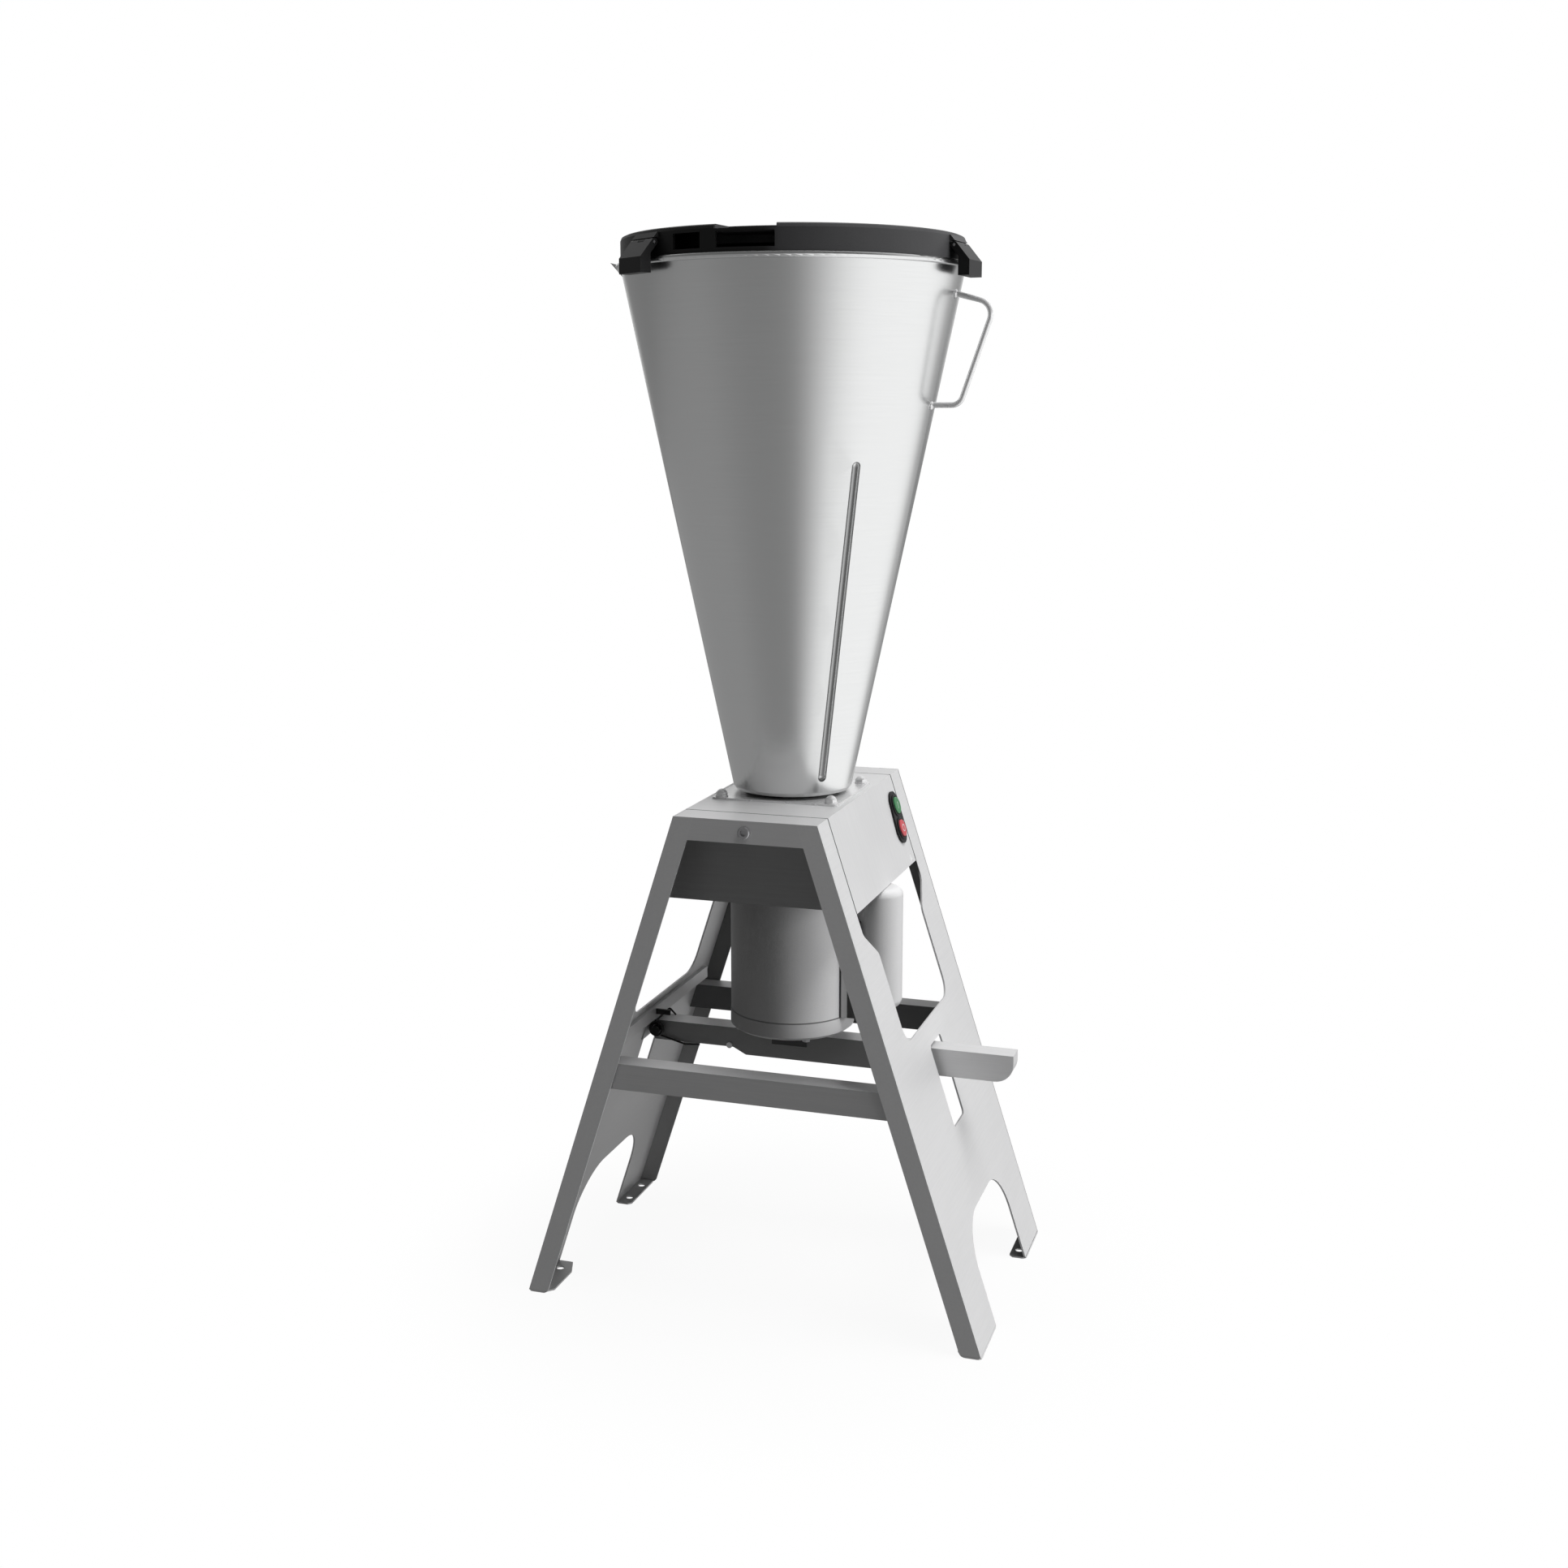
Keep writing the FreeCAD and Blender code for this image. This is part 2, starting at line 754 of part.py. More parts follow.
# Base plate, studs, washers and dome nuts on top of the housing
def base_plate():
    plate = rounded_face([(-base_half_x, -base_half_y, 4), (base_half_x, -base_half_y, 4),
                          (base_half_x, base_half_y, 4), (-base_half_x, base_half_y, 4)])
    plate = plate.extrude(vec(0, 0, base_t))
    plate.translate(vec(0, 0, head_top))
    holes = [Part.makeCylinder(seal_r + fit_gap, 3 * base_t, vec(0, 0, head_top - base_t))]
    for x, y in stud_places():
        holes.append(Part.makeCylinder(stud_r + stud_gap, 3 * base_t, vec(x, y, head_top - base_t)))
    for x, y in cup_bolt_places():
        holes.append(Part.makeCylinder(cup_bolt_r, 3 * base_t, vec(x, y, head_top - base_t)))
    return plate.cut(holes)


def cup_bolt_places():
    return [(cup_bolt_circle * math.cos(math.radians(a)),
             cup_bolt_circle * math.sin(math.radians(a))) for a in (0, 90, 180, 270)]


def stud(x, y):
    top = base_top + washer_t + nut_hex_h + 1
    return Part.makeCylinder(stud_r, top - motor_top + motor_flange_t,
                             vec(x, y, motor_top - motor_flange_t))


def washer(x, y):
    return ring(washer_r, stud_r + stud_gap, base_top, base_top + washer_t, x, y)


def dome_nut(x, y):
    z0 = base_top + washer_t
    z1 = z0 + nut_hex_h
    hexagon = [(x + nut_r * math.cos(math.radians(a)), y + nut_r * math.sin(math.radians(a)))
               for a in range(0, 360, 60)]
    flat_r = nut_r * math.cos(math.radians(30))
    rise = nut_dome_h
    ball_r = (flat_r ** 2 + rise ** 2) / (2 * rise)
    dome = Part.makeSphere(ball_r, vec(x, y, z1 + rise - ball_r))
    dome = dome.common(Part.makeCylinder(nut_r, rise + 1, vec(x, y, z1)))
    nut = fused([prism_xy(hexagon, z0, z1), dome])
    return nut.cut(Part.makeCylinder(stud_r, nut_hex_h + 1, vec(x, y, z0)))


# Motor: flange and shields, shell, stator, windings and bearings
def motor_top_flange():
    low = motor_top - motor_flange_t
    plate = box(-motor_flange_half_x, motor_flange_half_x, -motor_flange_half_y,
                motor_flange_half_y, low, motor_top)
    spigot = Part.makeCylinder(motor_r - motor_wall - fit_gap, motor_spigot - 4,
                               vec(0, 0, low - motor_spigot + 4))
    seat = Part.makeCylinder(bearing_r + bearing_seat_wall, motor_spigot,
                             vec(0, 0, low - motor_spigot))
    body = fused([plate, spigot, seat])
    bore = Part.makeCylinder(shaft_r + shaft_gap, 4 * motor_flange_t,
                             vec(0, 0, low - 2 * motor_flange_t))
    nest = Part.makeCylinder(bearing_r, 2 * motor_spigot, vec(0, 0, low - 2 * motor_spigot))
    body = body.cut(bore).cut(nest)
    for x, y in stud_places():
        body = body.cut(Part.makeCylinder(stud_r, 3 * motor_flange_t,
                                          vec(x, y, low - motor_flange_t)))
    return body


def motor_shell():
    return ring(motor_r, motor_r - motor_wall, shield_top, motor_top - motor_flange_t)


def bottom_shield():
    inner = motor_r - motor_wall
    seat_r = bearing_r + bearing_seat_wall
    seat_top = low_bearing_z + bearing_t
    outline = [(shaft_r + shaft_gap, shield_bottom), (motor_r + 0.5 - shield_chamfer_r, shield_bottom),
               (motor_r + 0.5, shield_bottom + shield_chamfer_h), (motor_r + 0.5, shield_top),
               (inner, shield_top), (inner, low_bearing_z), (seat_r, low_bearing_z),
               (seat_r, seat_top), (bearing_r, seat_top), (bearing_r, low_bearing_z),
               (shaft_r + shaft_gap, low_bearing_z)]
    body = lathe(outline)
    holes = [Part.makeCylinder(screw_r, 20, vec(x, y, shield_bottom - 5))
             for x, y in screw_places() + striker_screw_places()]
    return body.cut(holes)


def screw_places():
    return [(screw_circle_r * math.cos(math.radians(a)), screw_circle_r * math.sin(math.radians(a)))
            for a in (screw_azimuth + 90 * i for i in range(4))]


def shield_screw(x, y):
    head = Part.makeCylinder(screw_head_r, screw_head_t, vec(x, y, shield_bottom - screw_head_t))
    return fused([head, Part.makeCylinder(screw_r, shield_plate, vec(x, y, shield_bottom))])


def bearing(z):
    return ring(bearing_r, shaft_r + running_gap, z, z + bearing_t)


def stator():
    return ring(motor_r - motor_wall - stator_gap, stator_inner_r, stator_z, stator_z + stator_height)


def winding(z):
    return ring(winding_outer_r, winding_inner_r, z, z + winding_height)


def shaft():
    body = Part.makeCylinder(shaft_r, motor_top - 3 - shield_bottom - 2.5,
                             vec(0, 0, shield_bottom + 2.5))
    neck = Part.makeCylinder(shaft_neck_r, blade_z - motor_top + 3, vec(0, 0, motor_top - 3))
    tip = Part.makeCylinder(shaft_tip_r, upper_blade_z + blade_t + blade_nut_h - 2 - blade_z,
                            vec(0, 0, blade_z))
    return fused([body, neck, tip])


def rotor_core():
    return ring(stator_inner_r - air_gap, shaft_r, stator_z, stator_z + stator_height)


def cooling_fan():
    z0 = shield_top + 0.5
    blades = [ring(fan_hub_r, shaft_r, z0, z0 + fan_t), ring(fan_r, shaft_r, z0, z0 + 1.5)]
    blade = box(shaft_r + 2, fan_r, -0.9, 0.9, z0, z0 + fan_t)
    for i in range(fan_blades):
        blades.append(turned(blade, 360 / fan_blades * i))
    return fused(blades)


# Run capacitor: rounded can held against the motor by a saddle block
def capacitor():
    can = Part.makeCylinder(capacitor_r, capacitor_height,
                            vec(capacitor_x, 0, head_top - capacitor_bottom))
    rims = [edge for edge in can.Edges if edge.Closed and edge.Length > capacitor_r]
    return can.makeFillet(capacitor_round, rims)


def capacitor_saddle():
    z0 = head_top - saddle_bottom
    block = rounded_face([(saddle_x0, -saddle_half_y, 0), (saddle_x1, -saddle_half_y, saddle_round),
                          (saddle_x1, saddle_half_y, saddle_round), (saddle_x0, saddle_half_y, 0)])
    block = block.extrude(vec(0, 0, saddle_height))
    block.translate(vec(0, 0, z0))
    block = block.cut(Part.makeCylinder(motor_r + fit_gap, 2 * saddle_height, vec(0, 0, z0 - 20)))
    return block.cut(Part.makeCylinder(capacitor_r + fit_gap, 2 * saddle_height,
                                       vec(capacitor_x, 0, z0 - 20)))


# Latch striker: bracket under the motor that the pedal lever holds at rest
def striker_screw_places():
    y = striker_y + striker_t / 2 + striker_foot / 2
    return [(striker_x - striker_width / 4, y), (striker_x + striker_width / 4, y)]


def latch_striker():
    x0 = striker_x - striker_width / 2
    x1 = striker_x + striker_width / 2
    y0 = striker_y - striker_t / 2
    leg = box(x0, x1, y0, y0 + striker_t, shield_bottom - striker_drop, shield_bottom)
    foot = box(x0, x1, y0, y0 + striker_t + striker_foot, shield_bottom - striker_t, shield_bottom)
    bracket = fused([leg, foot])
    for x, y in striker_screw_places():
        bracket = bracket.cut(Part.makeCylinder(screw_r, 20, vec(x, y, shield_bottom - 10)))
    return bracket


def striker_screw(x, y):
    z = shield_bottom - striker_t
    head = Part.makeCylinder(screw_head_r, screw_head_t, vec(x, y, z - screw_head_t))
    shank = Part.makeCylinder(screw_r, striker_t + shield_plate, vec(x, y, z))
    return fused([head, shank])


# Shaft seal, blades and nut in the bottom of the cup
def shaft_seal():
    tube = Part.makeCylinder(seal_r, floor_top - head_top + seal_flange_t, vec(0, 0, head_top))
    flange = Part.makeCylinder(seal_flange_r, seal_flange_t, vec(0, 0, floor_top))
    bore = Part.makeCylinder(shaft_neck_r + running_gap, floor_top - head_top + 3 * seal_flange_t,
                             vec(0, 0, head_top - seal_flange_t))
    return fused([tube, flange]).cut(bore)


def blade(z, lift):
    tip = z + lift
    flat = [(-blade_r, tip), (-blade_flat, z), (blade_flat, z), (blade_r, tip),
            (blade_r, tip + blade_t), (blade_flat, z + blade_t), (-blade_flat, z + blade_t),
            (-blade_r, tip + blade_t)]
    bar = prism_xz(flat, -blade_half_w, blade_half_w)
    w = blade_half_w
    plan = [(blade_r + 1, -0.7 * w), (blade_r + 1, 0.1 * w), (blade_flat, w), (-blade_flat, w),
            (-blade_r - 1, 0.7 * w), (-blade_r - 1, -0.1 * w), (-blade_flat, -w),
            (blade_flat, -w)]
    low = min(z, tip)
    bar = bar.common(prism_xy(plan, low - 1, max(z, tip) + blade_t + 1))
    return bar.cut(Part.makeCylinder(shaft_tip_r, abs(lift) + 3 * blade_t, vec(0, 0, low - blade_t)))


def blade_nut():
    z0 = upper_blade_z + blade_t
    hexagon = [(blade_nut_r * math.cos(math.radians(a)), blade_nut_r * math.sin(math.radians(a)))
               for a in range(0, 360, 60)]
    dome_r = blade_nut_r * 1.25
    dome = Part.makeSphere(dome_r, vec(0, 0, z0 + blade_nut_h + 3 - dome_r))
    nut = prism_xy(hexagon, z0, z0 + blade_nut_h + 3).common(dome)
    return nut.cut(Part.makeCylinder(shaft_tip_r, blade_nut_h - 2, vec(0, 0, z0)))


def cup_bolt(x, y):
    head = Part.makeCylinder(cup_bolt_head_r, cup_bolt_head_h, vec(x, y, floor_top))
    shank = Part.makeCylinder(cup_bolt_r, floor_top - head_top, vec(x, y, head_top))
    return fused([head, shank])


# Cup: spun cone with a rolled bead, a pressed spout and two stiffening ribs
def cup_r(z):
    """Outside radius of the cup at height z."""
    return cup_base_r + cup_slope * (z - cup_z)


def cup_cone(z0, z1, offset):
    """Solid cone along the cup's outside, offset radially."""
    return Part.makeCone(cup_r(z0) + offset, cup_r(z1) + offset, z1 - z0, vec(0, 0, z0))


def spout_wedge():
    z = rim_z
    tip = vec(-spout_reach, 0, z + spout_rise)
    low = vec(-cup_r(z - spout_drop) + cup_wall, 0, z - spout_drop)
    left = vec(-spout_root, spout_half_w, z - spout_side_drop)
    right = vec(-spout_root, -spout_half_w, z - spout_side_drop)
    return tip, low, left, right


def tetra(a, b, c, d):
    faces = []
    for loop in ((a, b, c), (a, c, d), (a, d, b), (b, d, c)):
        faces.append(Part.Face(Part.makePolygon(list(loop) + [loop[0]])))
    solid = Part.Solid(Part.Shell(faces))
    if solid.Volume < 0:
        solid.reverse()
    return solid


def cup():
    wall_top = rim_z - bead_r
    round_r = cup_base_round
    outline = [(seal_r + fit_gap, cup_z), (cup_base_r - round_r, cup_z),
               (cup_base_r - 0.25 * round_r, cup_z + 0.3 * round_r),
               (cup_r(cup_z + round_r), cup_z + round_r), (cup_r(wall_top), wall_top),
               (cup_r(wall_top) - cup_wall, wall_top),
               (cup_r(floor_top + round_r) - cup_wall, floor_top + round_r),
               (cup_base_r - 0.25 * round_r - cup_wall, floor_top + 0.3 * round_r),
               (cup_base_r - round_r - cup_wall, floor_top), (seal_r + fit_gap, floor_top)]
    shell = lathe(outline)
    cavity = cup_cone(floor_top + round_r, rim_z + spout_rise + 5, -cup_wall)
    bead = Part.makeTorus(cup_r(wall_top) + bead_r - cup_wall, bead_r, vec(0, 0, wall_top))
    tip, low, left, right = spout_wedge()
    spout = tetra(tip, low, left, right).cut(cavity)
    edge = tip.sub(low)
    edge.normalize()
    outward = vec(-edge.z, 0, edge.x)
    side = tip.sub(low).cross(left.sub(low))
    side.normalize()
    shift = outward * (-cup_wall / abs(side.dot(outward)))
    root = low.add(shift)
    inner = [root.add(point.sub(low) * 1.25) for point in (tip, left, right)]
    body = shell.fuse([bead, spout]).cut(tetra(inner[0], root, inner[1], inner[2]))
    for azimuth in (rib_azimuth, rib_azimuth + 180):
        z0 = cup_z + rib_bottom
        z1 = cup_z + rib_top
        foot = turned(Part.Vertex(cup_r(z0), 0, z0), azimuth).Point
        head = turned(Part.Vertex(cup_r(z1), 0, z1), azimuth).Point
        ridge = rod(foot, head, rib_r + rib_wall)
        ridge = ridge.fuse([Part.makeSphere(rib_r + rib_wall, foot),
                            Part.makeSphere(rib_r + rib_wall, head)])
        ridge = ridge.common(cup_cone(cup_z + rib_bottom / 2, rim_z, -cup_wall / 2))
        groove = rod(foot, head, rib_r).fuse([Part.makeSphere(rib_r, foot),
                                              Part.makeSphere(rib_r, head)])
        body = body.fuse(ridge).cut(groove)
    for x, y in cup_bolt_places():
        body = body.cut(Part.makeCylinder(cup_bolt_r, 4 * cup_floor, vec(x, y, cup_z - cup_floor)))
    return body.removeSplitter()


def cup_gasket():
    body = ring(cup_base_r - gasket_inset, seal_r + fit_gap, base_top, cup_z)
    for x, y in cup_bolt_places():
        body = body.cut(Part.makeCylinder(cup_bolt_r, 3 * cup_base_gap, vec(x, y, base_top - 1)))
    return body


# Handle: bent round bar welded to the cup opposite the spout
def bent_rod(corners, radii, r):
    """Round bar through corner points, with an arc of its own radius at each bend."""
    edges = []
    start = corners[0]
    for i in range(1, len(corners) - 1):
        back = corners[i - 1].sub(corners[i])
        ahead = corners[i + 1].sub(corners[i])
        back.normalize()
        ahead.normalize()
        half = back.getAngle(ahead) / 2
        reach = radii[i - 1] / math.tan(half)
        middle = back.add(ahead)
        middle.normalize()
        top = corners[i].add(middle * (radii[i - 1] / math.sin(half) - radii[i - 1]))
        end = corners[i].add(back * reach)
        edges.append(Part.LineSegment(start, end).toShape())
        start = corners[i].add(ahead * reach)
        edges.append(Part.Arc(end, top, start).toShape())
    edges.append(Part.LineSegment(start, corners[-1]).toShape())
    path = Part.Wire(edges)
    circle = Part.Circle(corners[0], corners[1].sub(corners[0]), r).toShape()
    return path.makePipeShell([Part.Wire(circle)], True, False)


def cup_handle():
    z_top = rim_z - handle_top_drop
    z_shoulder = rim_z - handle_shoulder_drop
    z_foot = rim_z - handle_foot_drop
    bar = bent_rod([vec(cup_r(z_top) - 2, 0, z_top),
                    vec(cup_r(z_shoulder) + handle_top_out, 0, z_shoulder),
                    vec(cup_r(z_foot) + handle_foot_out, 0, z_foot),
                    vec(cup_r(z_foot) - 2, 0, z_foot)],
                   [handle_top_bend, handle_foot_bend], handle_r)
    return bar.cut(cup_cone(z_foot - 20, z_top + 20, fit_gap))


# Lid: hollow rim, sunk deck with a filler collar, plug and gasket
def lid():
    wall = lid_wall
    soft = 0.3 * lid_round
    outline = [(lid_r, lid_bottom), (lid_r, lid_top - lid_round), (lid_r - soft, lid_top - soft),
               (lid_r - lid_round, lid_top), (lid_rim_inner_r + 1, lid_top),
               (lid_rim_inner_r, lid_top - 1), (lid_rim_inner_r, lid_deck),
               (filler_r + collar_wall, lid_deck), (filler_r + collar_wall, collar_top),
               (filler_r, collar_top), (filler_r, lid_deck - wall),
               (lid_rim_inner_r + wall, lid_deck - wall), (lid_rim_inner_r + wall, lid_top - wall),
               (lid_r - wall, lid_top - wall), (lid_r - wall, lid_bottom + wall),
               (lid_plug_r - wall, lid_bottom + wall), (lid_plug_r - wall, lid_bottom - lid_plug_drop),
               (lid_plug_r, lid_bottom - lid_plug_drop), (lid_plug_r, lid_bottom)]
    body = lathe(outline)
    dip_top = lid_top - saddle_dip
    patch = sector(lid_r - wall / 2, lid_rim_inner_r + wall / 2, dip_top - wall, lid_top - wall / 2,
                   grip_rib_end - 2, grip_end + 2)
    body = body.fuse(patch)
    body = body.cut(sector(lid_r + 5, lid_rim_inner_r + 12, dip_top, lid_top + 5,
                           grip_rib_end - 0.5, grip_end + 0.5))
    z0 = lid_bottom + grip_bottom
    z1 = lid_top - grip_top
    for start, end in ((grip_start, grip_rib_start), (grip_rib_end, grip_end)):
        body = body.cut(sector(lid_r + 5, lid_r - 2 * wall, z0, z1, start, end))
    for azimuth in clip_azimuths:
        body = body.fuse(turned(clip_mount(), azimuth))
    for azimuth in clip_azimuths:
        body = body.cut(turned(clip_pin(), azimuth))
    return body.removeSplitter()


def clip_slant(r):
    """Height of the clip's slanted outer face at radius r."""
    foot = rim_z - clip_shoulder_drop
    top = lid_top - clip_wall_inner_drop
    return top + (foot - top) * (r - lid_r) / (clip_out - lid_r)


def clip_mount():
    """Ear for the hinge pin and the fixed wedge above it, at azimuth 0."""
    root = lid_r - lid_wall / 2
    half = clip_ear_width / 2
    ear = box(root, clip_hinge_r, -half, half, hinge_z - clip_knuckle_r, hinge_z + clip_knuckle_r)
    nose = rod(vec(clip_hinge_r, -half, hinge_z), vec(clip_hinge_r, half, hinge_z), clip_knuckle_r)
    low = hinge_z + clip_knuckle_r + 2 * clip_gap
    reach = clip_hinge_r + 1.0
    wedge = prism_xz([(root, low), (reach, low), (reach, clip_slant(reach)),
                      (lid_r, clip_slant(lid_r)), (root, clip_slant(lid_r))],
                     -clip_width / 2, clip_width / 2)
    return ear.fuse([nose, wedge])


def clip_pin():
    half = clip_width / 2 - 1
    return rod(vec(clip_hinge_r, -half, hinge_z), vec(clip_hinge_r, half, hinge_z), clip_pin_r)


def lid_clip():
    """Flap that swings outwards on its pin, at azimuth 0."""
    half = clip_width / 2
    shoulder = rim_z - clip_shoulder_drop
    foot = rim_z - clip_foot_drop
    slope = math.atan2(clip_slant(lid_r) - shoulder, clip_out - lid_r)
    nx = math.sin(slope)
    nz = math.cos(slope)
    gap = (clip_slant(clip_hinge_r) - hinge_z) * nz
    body = prism_xz([(clip_hinge_r + gap * nx, hinge_z + gap * nz), (clip_out, shoulder),
                     (clip_out, foot), (clip_inner, foot), (clip_inner, shoulder + clip_wall_inner_drop),
                     (clip_hinge_r - clip_knuckle_r * nx, hinge_z - clip_knuckle_r * nz)],
                    -half, half)
    knuckle = rod(vec(clip_hinge_r, -half, hinge_z), vec(clip_hinge_r, half, hinge_z),
                  clip_knuckle_r)
    flap = fused([body, knuckle])
    slot = clip_ear_width / 2 + clip_gap
    clear = clip_knuckle_r + clip_gap + 0.2
    room = rod(vec(clip_hinge_r, -slot, hinge_z), vec(clip_hinge_r, slot, hinge_z), clear)
    behind = box(clip_hinge_r - 12, clip_hinge_r, -slot, slot, hinge_z - clear, hinge_z + 12)
    bore = rod(vec(clip_hinge_r, -half - 1, hinge_z), vec(clip_hinge_r, half + 1, hinge_z),
               clip_pin_r + running_gap)
    return flap.cut([room, behind, bore])


def lid_gasket():
    z0 = lid_bottom - lid_plug_drop + 1.5
    outer = cup_r(z0) - cup_wall - fit_gap
    return ring(outer, lid_plug_r, z0, z0 + lid_gasket_h)


def filler_cap():
    z = collar_top + fit_gap
    plug = filler_r - cap_gap
    skirt = filler_r + collar_wall + cap_gap
    outline = [(0, z), (plug - 3.6, z), (plug - 3.6, z - cap_plug_h), (plug, z - cap_plug_h),
               (plug, z), (skirt, z), (skirt, z - cap_skirt_h), (skirt + 2.6, z - cap_skirt_h),
               (skirt + 2.6, z + cap_t - 1), (skirt + 1.6, z + cap_t), (cap_knob_r - 2, z + cap_t),
               (cap_knob_r, z + cap_t + 0.75 * cap_knob_h), (cap_knob_r - 1, z + cap_t + cap_knob_h),
               (0, z + cap_t + cap_knob_h)]
    return lathe(outline)


# Pedal lever: channel that is open below, on a pin in a bracket on the left plate
def lever_outline():
    return [(-lever_left, lever_step_z, 0), (lever_step_x, lever_step_z, lever_step_round),
            (lever_step_x + lever_step_run, lever_bottom, lever_step_round),
            (lever_tip, lever_bottom, lever_tip_corner),
            (lever_tip, lever_top, 0), (-lever_left, lever_top, 0)]


def pedal_lever():
    body = upright(lever_outline(), -lever_half_w, lever_half_w)
    inner = lever_half_w - sheet
    body = body.cut(box(-lever_left - 1, lever_tip - sheet, -inner, inner,
                        lever_bottom - 1, lever_top - sheet))
    body = body.cut(lever_rod(lever_pin_x, lever_pin_z, lever_pin_r + running_gap, 30, 30))
    return body.cut(lever_rod(lever_bolt_x, lever_bolt_z, lever_bolt_r, 30, 30))


def lever_rod(x, z, r, front, rear):
    return rod(vec(x, -front, z), vec(x, rear, z), r)


def lever_bolt():
    half = lever_half_w
    shank = lever_rod(lever_bolt_x, lever_bolt_z, lever_bolt_r, half, half)
    front = rod(vec(lever_bolt_x, -half - 2.5, lever_bolt_z), vec(lever_bolt_x, -half, lever_bolt_z),
                lever_bolt_head_r)
    rear = rod(vec(lever_bolt_x, half, lever_bolt_z), vec(lever_bolt_x, half + 2.5, lever_bolt_z),
               lever_bolt_head_r)
    return fused([shank, front, rear])


def lever_pin():
    front = lever_pin_reach
    rear = lever_half_w + 1
    shank = lever_rod(lever_pin_x, lever_pin_z, lever_pin_r, front, rear)
    heads = [rod(vec(lever_pin_x, -front - 2, lever_pin_z), vec(lever_pin_x, -front, lever_pin_z),
                 lever_pin_head_r),
             rod(vec(lever_pin_x, rear, lever_pin_z), vec(lever_pin_x, rear + 2, lever_pin_z),
                 lever_pin_head_r)]
    return fused([shank] + heads)


def lever_bracket():
    def wall(z):
        return -side_x(z) + sheet_x

    block = prism_xz([(wall(bracket_bottom), bracket_bottom), (-bracket_right, bracket_bottom),
                      (-bracket_right, bracket_top), (wall(bracket_top), bracket_top)],
                     -bracket_half_w, bracket_half_w)
    low = bracket_plate_bottom
    high = slot_top + bracket_lap
    plate = prism_xz([(wall(low), low), (wall(low) + bracket_t, low),
                      (wall(high) + bracket_t, high), (wall(high), high)],
                     -slot_half - bracket_plate_lap, slot_half + bracket_plate_lap)
    return fused([block, plate]).cut(lever_rod(lever_pin_x, lever_pin_z, lever_pin_r, 30, 30))


# Torsion spring: coils round the pin, one leg under the lever, one on the anchor
def spring_path():
    last = -coil_start - (coil_turns - 1) * coil_pitch
    under = lever_step_z - spring_gap - coil_wire_r
    dip = math.radians(-105)
    rise = math.radians(135)
    r = coil_r + spring_leg_out
    leg = [vec(lever_pin_x + r * math.cos(dip), -coil_start, lever_pin_z + r * math.sin(dip)),
           vec(lever_pin_x + spring_reach, -coil_start, under),
           vec(lever_pin_x + spring_reach + 16, -lever_half_w + 0.5, under)]
    x = lever_pin_x + r * math.cos(rise)
    z = lever_pin_z + r * math.sin(rise)
    hook = [vec(x, last, z), vec(x + hook_rise, last, z + hook_rise),
            vec(x + hook_rise + 7.5, last, z + hook_rise - 7.5)]
    return leg, hook


def coil_stack():
    """The close-wound coils as one ribbed tube about the Y axis."""
    top = -coil_start + coil_pitch / 2
    inner = coil_r - coil_wire_r
    valley = coil_r + 0.3 * coil_wire_r
    edges = [Part.LineSegment(vec(inner, top, 0), vec(valley, top, 0)).toShape()]
    for i in range(coil_turns):
        y = top - i * coil_pitch
        edges.append(Part.Arc(vec(valley, y, 0), vec(coil_r + coil_wire_r, y - coil_pitch / 2, 0),
                              vec(valley, y - coil_pitch, 0)).toShape())
    low = top - coil_turns * coil_pitch
    edges.append(Part.LineSegment(vec(valley, low, 0), vec(inner, low, 0)).toShape())
    edges.append(Part.LineSegment(vec(inner, low, 0), vec(inner, top, 0)).toShape())
    stack = Part.Face(Part.Wire(edges)).revolve(vec(0, 0, 0), vec(0, 1, 0), 360)
    stack.translate(vec(lever_pin_x, 0, lever_pin_z))
    return stack


def torsion_spring():
    legs = [bent_rod(path, [hook_bend], spring_leg_r) for path in spring_path()]
    return fused([coil_stack()] + legs)


def spring_anchor():
    peak = spring_path()[1][1]
    drop = (coil_wire_r + spring_gap + anchor_pin_r) * math.sqrt(2)
    at = vec(peak.x, 0, peak.z - drop)
    front = -coil_start - coil_turns * coil_pitch - 2.0
    tab = box(-rail_inner_x, at.x + 3.0, front - 2.5, front, at.z - 3.0, at.z + 3.0)
    pin = rod(vec(at.x, front - 1, at.z), vec(at.x, front + 8.0, at.z), anchor_pin_r)
    return fused([tab, pin])


# One file for each piece; equal fasteners share a file as separate solids
def save(name, *shapes):
    solids = []
    for shape in shapes:
        solids += shape.Solids
    whole = solids[0] if len(solids) == 1 else Part.makeCompound(solids)
    whole.exportStep("parts/" + name + ".step")


def pair(shape, normal):
    return [shape, mirrored(shape, normal)]


across = vec(1, 0, 0)
along = vec(0, 1, 0)

for name, shape in zip(("right_side_plate", "left_side_plate"), pair(side_plate(), across)):
    save(name, shape)
for name, shape in zip(("front_top_beam", "rear_top_beam"), pair(top_beam(), along)):
    save(name, shape)
for name, shape in zip(("front_crossbar", "rear_crossbar"), pair(crossbar(), along)):
    save(name, shape)
for name, shape in zip(("right_plate_rail", "left_plate_rail"), pair(plate_rail(), across)):
    save(name, shape)
save("pivot_bolts", *pair(pivot_bolt(), along))
save("pivot_spacers", *pair(pivot_spacer(), along))
save("pivot_bushes", *pair(pivot_bush(), along))

